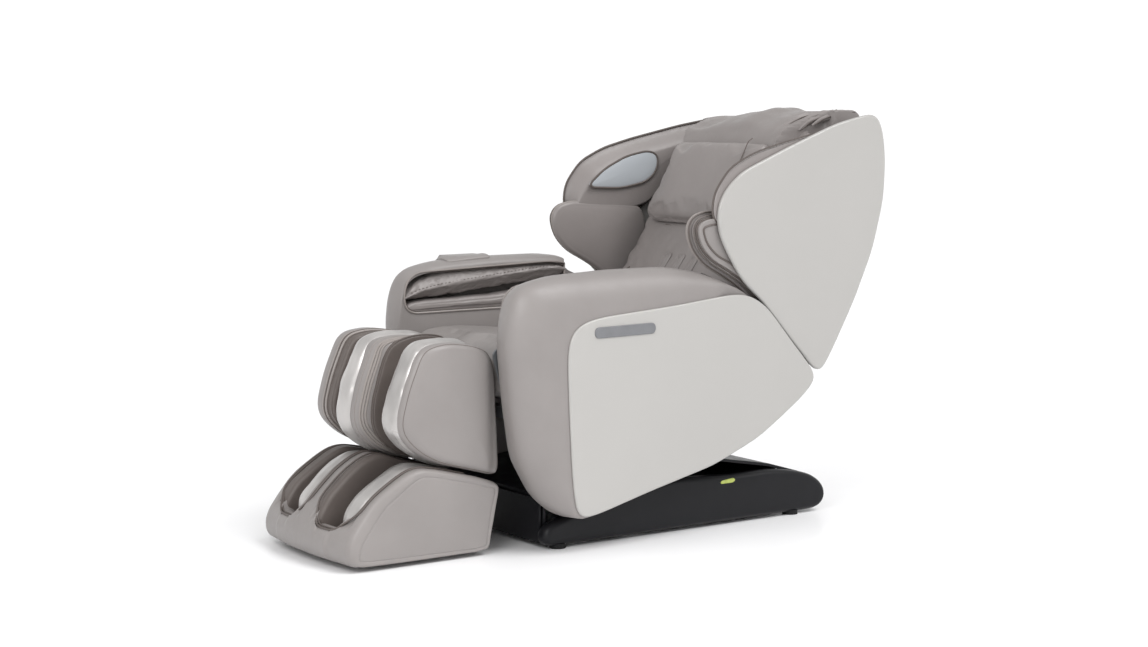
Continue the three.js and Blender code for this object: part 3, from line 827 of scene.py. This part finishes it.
def make_arm_flap():
    """The small padded lid on the right arm; its free edge follows the crest down."""
    ring = eased([(556, -34), (556, 48), (699, 48), (699, -34)], 9, 2, 140)
    crest = 725 + 7 * smoothstep(ring[:, 0], 540, 700)

    def curl(inwards):
        """How far the lid has fallen at a distance inwards from the crest, on a 50 mm round."""
        return 22 * (1 - np.sqrt(1 - (np.clip(inwards, 0, 49) / 50) ** 2))

    rows = []
    for depth, inset in ((-5, 0), (-2, -0.6), (2, -1), (4.5, -0.4), (6, 2), (6.6, 5)):
        row = shrunk(ring, inset)
        fall = curl(-row[:, 1]) + 0.35 * np.maximum(0, row[:, 1]) ** 2 / 48
        rows.append(np.column_stack([LID_X - row[:, 1], row[:, 0], crest + depth - fall]))
    rim = rows[-1]
    for share in (0.85, 0.6, 0.3):
        row = scaled(rim, share)
        row[:, 2] = 736.5 - curl(row[:, 0] - LID_X)
        rows.append(row)
    dress(skin("arm_lid_pad", rows), "arm_flap", "taupe", ["arm_flap"])


# ---- seat ----
def make_seat():
    """The seat pad, swollen above the frame it is fixed to."""
    seat = slab("seat_pad", SEAT_TOP, -SEAT_HALF, SEAT_HALF, 26, 5, edge=(18, 18))
    inflate(seat, lambda p: 1.0 if p[2] < 420 else 0.0, 3.0, 8.0, 6.0)
    dress(seat, "seat", "taupe", ["seat_cushion"])


# ---- calf unit ----
def rim_spread(ring, front, top, low, rear):
    """How far a face's rim draws in, by which way the outline looks there."""
    out = -inward(ring)
    spread = front * np.maximum(0, -out[:, 0]) + rear * np.maximum(0, out[:, 0])
    spread += top * np.maximum(0, out[:, 1]) + low * np.maximum(0, -out[:, 1])
    return relaxed(spread, 12)


def knee_tuck(y):
    """How far the calf unit's outer sides draw in beside the arms at y."""
    return 10 * smoothstep(y, 366, 396)


def make_calf_walls():
    """The outer walls: the left one lines its channel, the right one stays thin behind its lining."""
    ring = eased(CALF_SIDE, 30, 7)
    spread = rim_spread(ring, 40, 15, 12, 12)
    for name, side in SIDES:
        inside, edge, draw = (CALF_IN, 52, 22) if side > 0 else (CALF_THIN_IN, 10, 5)
        rows = slab_rings(
            ring, side * inside, side * CALF_OUT, edge=(edge, 24), spread=(draw, spread), crown=(0, 5),
        )
        for row in rows:
            row[:, 0] -= side * knee_tuck(row[:, 1]) * smoothstep(abs(row[:, 0]), 170, 230)
        dress(skin(f"calf_side_{name}", rows), "legrest", "taupe", [f"calf_wall_{name}"])
        turn = math.radians(50)
        path = at_x(side * CALF_OUT, shrunk(ring, spread * (1 - math.sin(turn))))
        path[:, 0] -= side * (24 * (1 - math.cos(turn)) + knee_tuck(path[:, 1]))
        trim(f"calf_side_seam_{name}", [(path, 0.9, True)], "legrest", "seam")


def make_calf_centre():
    """The divider: three rolls of piping round its left rim, then a lining with its own piping, whose dark
    colour is painted shade.
    """
    ring = eased(CALF_DIVIDER, 28, 7)
    spread = rim_spread(ring, 46, 12, 20, 4)
    divider = plate("calf_centre", ring, -DIVIDER_HALF, DIVIDER_HALF, edge=(50, 36), spread=(24, spread))
    dress(divider, "legrest", "taupe", ["calf_divider"])
    folds = []
    for turn, radius in ((74, 0.9), (50, 3.2), (40, 3.4), (30, 3.2)):
        t = math.radians(turn)
        inset, depth = spread * (1 - math.sin(t)), 36 * (1 - math.cos(t))
        folds.append((at_x(DIVIDER_HALF - depth, shrunk(ring, inset)), radius, True))
    trim("calf_centre_piping", folds, "legrest", "piping")
    inner = eased(CALF_LINING, 24, 4)
    # the lining's dark colour is painted shade
    lining = plate("calf_centre_lining", inner, 38, 57, edge=(4, 7), crown=(0, 3))
    dress(ruffle(lining, 0.8, 40, 4), "legrest", "brown", ())
    edge = (at_x(54, shrunk(inner, 0.5)), 2.2, True)
    trim("calf_centre_lining_piping", [edge], "legrest", "dark_piping_and_shade")


def make_calf_far_lining():
    """On the right wall: two rolls of taupe leather, then the lining, whose dark colour is painted shade."""
    ring = eased(CALF_SIDE, 30, 7)
    rolls = [(at_x(-186, shrunk(ring, 3)), 4.2, True), (at_x(-174, shrunk(ring, 4)), 3.6, True)]
    trim("calf_wall_piping", rolls, "legrest", "piping")
    inner = shrunk(ring, 6)
    # the lining's dark colour is painted shade
    lining = plate("calf_wall_lining", inner, -192, -140, edge=(5, 10), crown=(0, 3))
    dress(ruffle(lining, 0.8, 40, 6), "legrest", "brown", ())
    edges = [(at_x(-180, shrunk(ring, 1)), 2.0, True), (at_x(-148, shrunk(inner, 1)), 2.2, True)]
    trim("calf_wall_lining_piping", edges, "legrest", "dark_piping_and_shade")


def make_airbag(name, corners, x0, x1, body, replaces, seed):
    """An airbag, full and gathered along its seams. Its pale grey colour is a painted reflection: the lit
    copy of the glossy leather whose shaded copy is the dark lining across the channel.
    """
    bag = slab(name, corners, x0, x1, 30, 5, edge=(26, 26), crown=(4, 0), belly=3)
    ruffle(bag, 2.2, 46, seed)
    ruffle(bag, 0.6, 24, seed + 3)
    # the pale grey look is a painted reflection
    dress(bag, body, "silver", replaces)


def make_calf_unit():
    """Walls, divider, the lining on one side of each channel and the airbag on the other. The lining's dark
    colour is painted shade and the airbag's pale grey a painted reflection, one glossy leather lit from one
    side.
    """
    make_calf_walls()
    make_calf_centre()
    make_calf_far_lining()
    make_airbag("calf_bag_outer", CALF_SILVER, 136, 218, "legrest", ["calf_airbag_left"], 11)
    make_airbag("calf_bag_centre", DIVIDER_SILVER, -70, 4, "legrest", ["calf_airbag_right"], 17)
    rear = slab("calf_rest_back", CALF_BACK, -159, 159, 8, 2, edge=(3, 3))
    dress(rear, "legrest", "brown", ["calf_back_panel"])


# ---- foot unit ----
def toe_inset(y):
    """How far the sides of a toe opening draw in at y, which rounds its front corners."""
    reach = np.clip((np.asarray(y, float) + 46) / TOE_ROUND, 0, 1)
    return TOE_ROUND * (1 - np.sqrt(1 - (1 - reach) ** 2))


def foot_section(x, forms):
    """The foot unit's (y, z) section at x."""
    far = abs(x)
    inset = toe_inset(forms["channel"][:, 0])
    open_share = smoothstep(far - inset, 46, 58) * (1 - smoothstep(far + inset, 156, 168))
    wall_share = smoothstep(far, 100, 110)
    solid = forms["centre"] * (1 - wall_share) + forms["wall"] * wall_share
    row = solid * (1 - open_share)[:, None] + forms["channel"] * open_share[:, None]
    ledge = smoothstep(far, 26, 34) * (1 - smoothstep(far, 44, 50))
    ledge += smoothstep(far, 162, 168) * (1 - smoothstep(far, 198, 206))
    row[:, 1] -= 9 * ledge * smoothstep(row[:, 1], 100, 130)
    nose_bow = 18 * (far / FOOT_HALF) ** 2
    row[:, 0] += nose_bow * smoothstep(-row[:, 0], -60, 40)
    return row


def make_foot_shell():
    """One skin from side to side, whose section changes at the walls, channels and divider."""
    forms = {}
    for kind, corners in FOOT_FORMS.items():
        forms[kind] = anchored(eased(corners, 18, 4, 800), FOOT_MARKS[kind], FOOT_COUNTS)
    steps = np.concatenate([
        np.linspace(0, 24, 4), np.linspace(26, 60, 16), np.linspace(64, 152, 23),
        np.linspace(154, 170, 9), np.linspace(176, 196, 4), np.linspace(198, 208, 5),
        np.linspace(214, FOOT_FLAT, 2),
    ])
    stations = np.concatenate([-steps[:0:-1], steps])
    rows = [at_x(x, foot_section(x, forms)) for x in stations]
    outline = foot_section(FOOT_HALF, forms)
    spread = rim_spread(outline, 24, 10, 3, 6)
    for side in (-1, 1):
        cap = []
        for t in np.linspace(0, math.pi / 2, 9)[1:]:
            x = FOOT_FLAT + (FOOT_HALF - FOOT_FLAT) * math.sin(t)
            cap.append(at_x(side * x, shrunk(outline, spread * (1 - math.cos(t)))))
        for step, share in ((5, 0), (6.5, 0.6), (8, 1), (9.5, 0.6), (11, 0)):
            cap.append(at_x(side * (FOOT_HALF - 1.3 * share), shrunk(outline, spread + step)))
        inner = shrunk(outline, spread + 11)
        for share in CAP_SCALES:
            cap.append(at_x(side * (FOOT_HALF + 2.5 * (1 - share ** 2)), scaled(inner, share)))
        rows = rows + cap if side > 0 else cap[::-1] + rows
    nodes = ["foot_wall_left", "foot_wall_right", "foot_divider", "foot_tray", "foot_toe_cap"]
    dress(skin("foot_shell", rows), "footrest", "taupe", nodes)
    return forms


def make_foot_piping(forms):
    """Double piping round each toe opening: up the divider, along the toe lip, up the wall."""
    first, last = sum(FOOT_COUNTS[:3]), sum(FOOT_COUNTS[:5])
    for name, side, inner_x in (("left", 1, 30), ("right", -1, -20)):
        runs = []
        for grow in (0, 7):
            a, b = inner_x - side * grow, side * (204 + grow)
            lip = []
            for x in np.linspace(side * 62, side * 152, 40):
                lip.append([x, *foot_section(x, forms)[first - 2 - int(grow / 3)]])
            climbs = []
            for x in (a, b):
                rise = at_x(x, foot_section(x, forms)[first + 3:last])
                climbs.append(rise + [0, 0, 1.5])
            path = even(np.vstack([climbs[0][::-1], lip, climbs[1]]), 300, closed=False)
            runs.append((settled(path, 40) + [0, -1.2, 1.2], 2.6, False))
        trim(f"toe_piping_{name}", runs, "footrest", "dark_piping_and_shade")


def make_foot_unit():
    """The shell and, in its two channels, piping, airbags, linings and sole pads. The linings' dark colour
    is painted shade and the airbags' pale grey a painted reflection.
    """
    forms = make_foot_shell()
    make_foot_piping(forms)
    make_airbag("foot_bag_outer", FOOT_SILVER, 122, 202, "footrest", [], 23)
    make_airbag("foot_bag_centre", FOOT_DIVIDER_SILVER, -114, -24, "footrest", [], 29)
    for name, corners, x0, x1 in (
        ("centre", FOOT_LINING_CENTRE, 32, 62), ("wall", FOOT_LINING_WALL, -200, -158),
    ):
        # the linings' dark colour is painted shade
        lining = slab(f"foot_lining_{name}", corners, x0, x1, 20, 4, edge=(6, 12), crown=(0, 2))
        dress(ruffle(lining, 0.8, 40, 9), "footrest", "brown", ())
    ring = eased(SOLE, 26, 4, 120)
    for name, side in SIDES:
        rows = []
        for lift, inset in ((0, 2), (3, 0), (9, 0), (12, 3), (13.5, 8)):
            row = shrunk(ring, inset)
            rows.append(np.column_stack([side * (row[:, 0] + 6), 52 + row[:, 1], 58 + lift + 0 * row[:, 0]]))
        rim = rows[-1]
        rows += [scaled(rim, share) + [0, 0, 2 * (1 - share)] for share in (0.8, 0.5, 0.2)]
        dress(skin(f"sole_pad_{name}", rows), "footrest", "brown", ())


# ---- backrest ----
def make_back_case():
    """Two lacquered side panels, the right one's top a little lower, and the shell between them."""
    for name, side in SIDES:
        ring = eased(BACK_SIDE, 26, 6)
        if side < 0:
            ring[:, 1] -= 18 * smoothstep(ring[:, 1], 980, 1090)
        panel = plate(
            f"back_side_panel_{name}", ring, side * (WING_OUT + 1), side * BACK_PANEL_OUT,
            edge=(2, 6), spread=(2, 7), crown=(0, 5),
        )
        dress(panel, "backrest", "white", [f"back_panel_{name}"])
    curve = settled(even(SHELL_OUTER, 60, closed=False), 12)
    slope = np.gradient(curve, axis=0)
    slope /= np.linalg.norm(slope, axis=1)[:, None]
    inner = curve + np.stack([slope[:, 1], -slope[:, 0]], 1) * SHELL_THICK
    loop = np.vstack([curve, inner[::-1]])
    rows = []
    for x in np.linspace(-WING_OUT, WING_OUT, 37):
        bow = 10 * (1 - (x / WING_OUT) ** 2)
        rows.append(at_x(x, loop + [bow * 0.6, 0]))
    dress(skin("back_cover", rows), "backrest", "white", ["back_shell"])


def domed_rings(ring, side, inside, low, high, crown):
    """A pad that is thin along its upper front edge and swells towards the sitter."""
    rise = low + (high - low) * relaxed(np.clip(-inward(ring) @ (-0.5, 0.86), 0, 1), 10)
    rows = [at_x(side * WING_OUT, scaled(ring, share)) for share in (0.1, 0.5, 0.9, 0.99)]
    rows.append(at_x(side * WING_OUT, shrunk(ring, 2)))
    rows.append(at_x(side * (WING_OUT - 2), ring))
    for u in np.linspace(0.08, 1, 14):
        depth = (WING_OUT - 4 - inside) * float(smoothstep(u, 0, 1))
        rows.append(at_x(side * (WING_OUT - 4 - depth), shrunk(ring, rise * u)))
    inner = shrunk(ring, rise)
    for share in CAP_SCALES:
        rows.append(at_x(side * (inside - crown * (1 - share ** 2)), scaled(inner, share)))
    return rows


def make_wings():
    """The head wings, and below them the shoulder pads with two strips each and, behind the strips, a dark
    sheet of painted shade that shows in the gap between them.
    """
    upper_ring = eased(WING_UPPER, 26, 5)
    lower_ring = eased(WING_LOWER, 26, 5)
    for name, side in SIDES:
        upper = skin(f"wing_pad_upper_{name}", domed_rings(upper_ring, side, WING_IN, 20, 58, 4))
        dress(upper, "backrest", "taupe_dark", [f"wing_upper_{name}"])
        lower = plate(
            f"wing_pad_lower_{name}", lower_ring, side * (WING_IN - 2), side * (WING_IN + 17),
            edge=(9, 5), spread=(12, 5), crown=(8, 0),
        )
        dress(lower, "backrest", "taupe_dark", [f"wing_lower_{name}"])
        for k, (near, far, drawn) in enumerate(((21, 29, 8), (32, 42, 18))):
            ring = shrunk(lower_ring, drawn)
            x0, x1 = side * (WING_IN + near), side * (WING_IN + far)
            strip = plate(f"shoulder_strip_{name}_{k}", ring, x0, x1, edge=(3, 3))
            dress(strip, "backrest", "taupe", ())
        # a dark sheet behind the strips: painted shade in the gap between them
        ring = shrunk(lower_ring, 14)
        x0, x1 = side * (WING_IN + 10), side * (WING_IN + 34)
        shade_sheet = plate(f"shoulder_shade_sheet_{name}", ring, x0, x1, edge=(3, 3))
        dress(shade_sheet, "backrest", "dark_piping_and_shade")
        runs = [(at_x(side * (WING_OUT - 6), shrunk(upper_ring, -1)), 3.0, True)]
        for offset, drawn, radius in ((17, 1, 2.2), (30, 9, 2.0), (42, 34, 3.0)):
            runs.append((at_x(side * (WING_IN + offset), shrunk(lower_ring, drawn)), radius, True))
        trim(f"wing_piping_{name}", runs, "backrest", "dark_piping_and_shade")
        rim = (at_x(side * (WING_IN + 9), lower_ring), 2.4, True)
        trim(f"wing_rim_{name}", [rim], "backrest", "piping")


def make_speakers():
    """A domed lens on each head wing, in a dark rim."""
    ring = eased(SPEAKER, 26, 3)
    for name, side in SIDES:
        x0, x1 = side * (WING_IN - 11), side * (WING_IN + 4)
        lens = plate(f"speaker_lens_{name}", ring, x0, x1, edge=(3, 1), spread=(4, 1), crown=(3, 0))
        dress(lens, "backrest", "lens", [f"speaker_{name}"])
        rim = (at_x(side * (WING_IN - 9), shrunk(ring, -2)), 3.4, True)
        trim(f"speaker_rim_{name}", [rim], "backrest", "dark_piping_and_shade")


def make_top_cap():
    """The soft hood over the top of the back, in loose waves, drawn back beside the pillow."""
    ring = eased(HOOD, 14, 3, 120)
    rows = []
    for x in np.linspace(-300, 300, 91):
        wave = 6 * math.sin(x / 52 + 0.9) + 3 * math.sin(x / 21) - 25 * smoothstep(-x, 30, 270)
        row = ring.copy()
        row[:, 1] += wave * smoothstep(row[:, 1], 1080, 1120)
        row[:, 0] = np.maximum(row[:, 0], 1332 + 150 * smoothstep(abs(x), 200, 276))
        close = smoothstep(abs(x), 288, 301)
        rows.append(at_x(x, shrunk(row, 6 * close)))
    hood = skin("hood_flap", rows)
    ruffle(hood, 2.2, 46, 13)
    ruffle(hood, 1.0, 19, 14, where=lambda p: float(smoothstep(abs(p[0]), 120, 200)))
    dress(hood, "backrest", "taupe_dark", ["top_cap"])


def make_hood_folds():
    """Layers of leather gathered at each end of the hood, with a thin dark tube of painted shade in the gap
    beside each layer; lower on the right.
    """
    for name, side in SIDES:
        layers, shade_gaps = [], []
        sink = 0 if side > 0 else 26
        for k, x in enumerate((206, 232, 258, 284)):
            back = 1380 + 26 * k
            path = np.array([
                (side * (x - 18), back - 26, 1064 + 14 * k), (side * (x - 12), back, 1098 + 8 * k),
                (side * x, back + 60, 1128 + 3 * k), (side * (x + 4), 1560, 1146 - 2 * k),
            ]) - [0, 0, sink]
            path = settled(even(path, 60, closed=False), 30)
            taper = 9 * np.sin(np.linspace(0.25, math.pi - 0.35, 60)) + 1
            layers.append((path - [0, 0, 4], taper, False))
            # a dark tube in the gap beside each layer: painted shade
            shade_gaps.append((path + [side * 11, 4, -1], 1.6, False))
        rolls = tubes(f"hood_fold_{name}", layers)
        ruffle(rolls, 1.6, 24, 41)
        dress(rolls, "backrest", "taupe_dark", ())
        trim(f"hood_fold_shade_{name}", shade_gaps, "backrest", "dark_piping_and_shade")


# ---- backrest, inside ----
def front_pad(name, half_x, z0, z1, back_y, thick, corner, power, count, rows=16):
    """A crowned pad seen from the front: its face stands off back_y by thick."""
    ring = eased([(-half_x, z0), (half_x, z0), (half_x, z1), (-half_x, z1)], corner, 4, count)
    middle = np.array([0, (z0 + z1) / 2])
    rings = [at_y(back_y, ring)]
    for t in np.linspace(0, 1, rows):
        angle = t * math.pi / 2
        inset = 1 - math.cos(angle) ** (2 / power)
        height = math.sin(angle) ** (2 / power)
        rings.append(at_y(back_y - thick * height, middle + (ring - middle) * (1 - 0.985 * inset)))
    return skin(name, [leaned(ring) for ring in rings])


def make_back_cushion():
    """One broad pad from wing to wing, with the massage window below the pillow."""
    body = front_pad("back_pad", 276, 20, 690, 48, 46, 40, 5.0, 180)
    inflate(body, lambda p: 1.0 if local_back(p)[1] > 36 else 0.0, 2.0, 5.0, 7.0)
    ruffle(body, 1.8, 60, 21)
    ruffle(body, 1.0, 24, 22)
    dress(body, "backrest", "taupe_dark", ["back_cushion"])


def laid(points, lift=0.0):
    """Points (x, z) on the back pad's face, lifted off it towards the sitter."""
    return leaned(at_y(1.0 - lift, np.asarray(points, float)))


def make_back_details():
    """Dark lines of painted shade in the pleats and under the pillow, the window's dark slots and the straps
    across them.
    """
    # thin dark tubes on the pad's face: painted shade in its creases and under the pillow's edge
    lines = [([(x, 344), (x - 3, 322), (x + 1, 300)], 1.5) for x in (-120, -60, -6, 44, 104)]
    lines += [([(-140, 342), (0, 337), (132, 342)], 3.0), ([(-124, 258), (0, 250), (124, 258)], 2.4)]
    lines += [([(-214, 196), (-262, 150)], 1.8), ([(-214, 196), (-206, 152)], 2.0)]
    runs = [(even(laid(line), 24, closed=False), radius, False) for line, radius in lines]
    trim("back_pleat_shade_lines", runs, "backrest", "dark_piping_and_shade")
    window = front_pad("back_window", 104, 150, 244, 6, 8, 14, 6.0, 60, rows=6)
    dress(window, "backrest", "brown")
    straps = []
    for x in (-86, -22, 42):
        ring = eased([(x, 146), (x + 32, 146), (x + 46, 250), (x + 14, 250)], 6, 2, 60)
        straps += [(laid(shrunk(ring, drawn), 5.0), 4.5, True) for drawn in (2, 9, 15)]
    trim("back_straps", straps, "backrest", "taupe_dark")


def make_back_gusset():
    """The fabric that closes the gap between the seat and the backrest."""
    gusset = plate("back_gusset", eased(GUSSET, 8, 3, 100), -SEAT_HALF, SEAT_HALF, edge=(4, 4))
    dress(gusset, None, "taupe_dark", ())
    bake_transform(gusset)


def lean_out(piece):
    """The pillow is fuller towards its top and wider towards its foot."""
    for vertex in piece.data.vertices:
        _, depth, height = local_back(millimetres(vertex.co))
        grow = max(0.0, -6 - depth) / 56
        push = 16 * grow * float(smoothstep(height, 380, 590)) - 6 * grow
        vertex.co += Vector((0, -LEAN_COS, LEAN_SIN)) * push * MM
        vertex.co.x *= 1.03 - 0.06 * float(smoothstep(height, 345, 610))


def make_pillow():
    """The head pillow, with a seam down its left side."""
    pillow = front_pad("pillow", 206, 344, 606, -8, 54, 34, 4.2, 160)
    lean_out(pillow)
    inflate(pillow, lambda p: 1.0 if local_back(p)[1] > -18 else 0.0, 4.0, 6.0, 5.0)
    ruffle(pillow, 1.2, 70, 31)
    dress(pillow, "head_pillow", "taupe_dark", ["head_pillow"])
    seam = leaned([(158, -62, 372), (158, -66, 450), (157, -73, 540), (156, -75, 585), (154, -66, 602)])
    trim("pillow_seam", [(even(seam, 40, closed=False), 1.6, False)], "head_pillow", "seam")


# ---- base ----
def make_base():
    """The two side covers with their status lights, and the deck between them."""
    ring = eased(BASE_SIDE, 30, 5)
    light = eased(STATUS_LIGHT, 5, 2, 80)
    for name, side in SIDES:
        x0, x1 = side * BASE_IN, side * BASE_OUT
        cover = plate(f"base_side_{name}", ring, x0, x1, edge=(8, 20), spread=(6, 16), crown=(0, 2))
        dress(cover, "base", "charcoal", [f"base_cover_{name}"])
        x0, x1 = side * (BASE_OUT - 8), side * (BASE_OUT + 1.5)
        lamp = plate(f"status_light_{name}", light, x0, x1, edge=(1, 2), crown=(0, 0.6))
        dress(lamp, "base", "glow")
    deck = slab("base_deck", BASE_DECK, -BASE_IN + 1, BASE_IN - 1, 20, 3, edge=(4, 4))
    dress(deck, "base", "charcoal")


def dress_cad():
    """The CAD parts that stay in sight get their own node materials; feet, wheels and rollers rubber."""
    charcoal = ("base_cover_center", "base_cover_front", "power_inlet")
    device = ("air_pump", "massage_carriage", "sole_roller_set", "actuator_tube")
    steel = ("base_frame", "seat_frame", "back_frame", "extension_rod", "actuator_rod")
    steel += ("roller_arm_left", "roller_arm_right")
    groups = (("charcoal", charcoal), ("device", device), ("steel", steel))
    look_of = {name: look for look, names in groups for name in names}
    for name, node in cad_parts.items():
        if not node.hide_render:
            node.data.materials.clear()
            node.data.materials.append(LOOKS[look_of.get(name, "rubber")])


# ---- studio ----
def make_sky():
    """A white room that is brightest round the horizon."""
    world = bpy.data.worlds.new("studio")
    world.use_nodes = True
    tree = world.node_tree
    place = tree.nodes.new("ShaderNodeTexCoord")
    split = tree.nodes.new("ShaderNodeSeparateXYZ")
    fade = tree.nodes.new("ShaderNodeMapRange")
    for name, value in (("From Min", 0.12), ("From Max", 0.5), ("To Min", 1.08), ("To Max", 0.62)):
        fade.inputs[name].default_value = value
    tree.links.new(place.outputs["Generated"], split.inputs["Vector"])
    tree.links.new(split.outputs["Z"], fade.inputs["Value"])
    tree.links.new(fade.outputs["Result"], tree.nodes["Background"].inputs["Strength"])
    tree.nodes["Background"].inputs["Color"].default_value = (1, 1, 1, 1)
    bpy.context.scene.world = world


def make_floor():
    """A plain pale floor, which isn't part of the chair."""
    far = 40
    points = [(-far, -far, 0), (far, -far, 0), (far, far, 0), (-far, far, 0)]
    mesh = bpy.data.meshes.new("floor")
    mesh.from_pydata(points, [], [(0, 1, 2, 3)])
    floor = placed("floor", mesh)
    floor.data.materials.append(lacquer("floor_white", "FCFCFD", 0.6))


def make_lights():
    """A soft key light from above, on the chair's left, and a weaker area light in front of it."""
    sun = bpy.data.lights.new("key", "SUN")
    sun.energy = 1.7
    sun.angle = math.radians(35)
    aim(placed("key", sun), Vector((-0.50, -0.30, -0.81)))
    area = bpy.data.lights.new("front", "AREA")
    area.shape = "RECTANGLE"
    area.size = area.size_y = 1.6
    area.energy = 45
    lamp = placed("front", area)
    lamp.location = (2.0, -2.6, 2.4)
    aim(lamp, Vector((0.3, -0.3, 0.6)) - lamp.location)


def make_studio():
    """Plain soft daylight on a pale floor, shown without a film curve."""
    bpy.context.scene.view_settings.view_transform = "Standard"
    make_sky()
    make_floor()
    make_lights()


make_camera()
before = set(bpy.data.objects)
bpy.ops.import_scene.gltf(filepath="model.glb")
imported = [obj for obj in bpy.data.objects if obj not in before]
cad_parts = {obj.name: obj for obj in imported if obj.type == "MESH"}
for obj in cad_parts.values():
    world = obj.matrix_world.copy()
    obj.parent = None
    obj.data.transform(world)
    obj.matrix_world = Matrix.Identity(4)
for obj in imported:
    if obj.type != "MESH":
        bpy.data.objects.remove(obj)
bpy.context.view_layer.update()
LOOKS = make_looks()
make_arms()
make_arm_flap()
make_seat()
make_calf_unit()
make_foot_unit()
make_back_case()
make_wings()
make_speakers()
make_top_cap()
make_hood_folds()
make_back_cushion()
make_back_details()
make_back_gusset()
make_pillow()
make_base()
dress_cad()
make_studio()
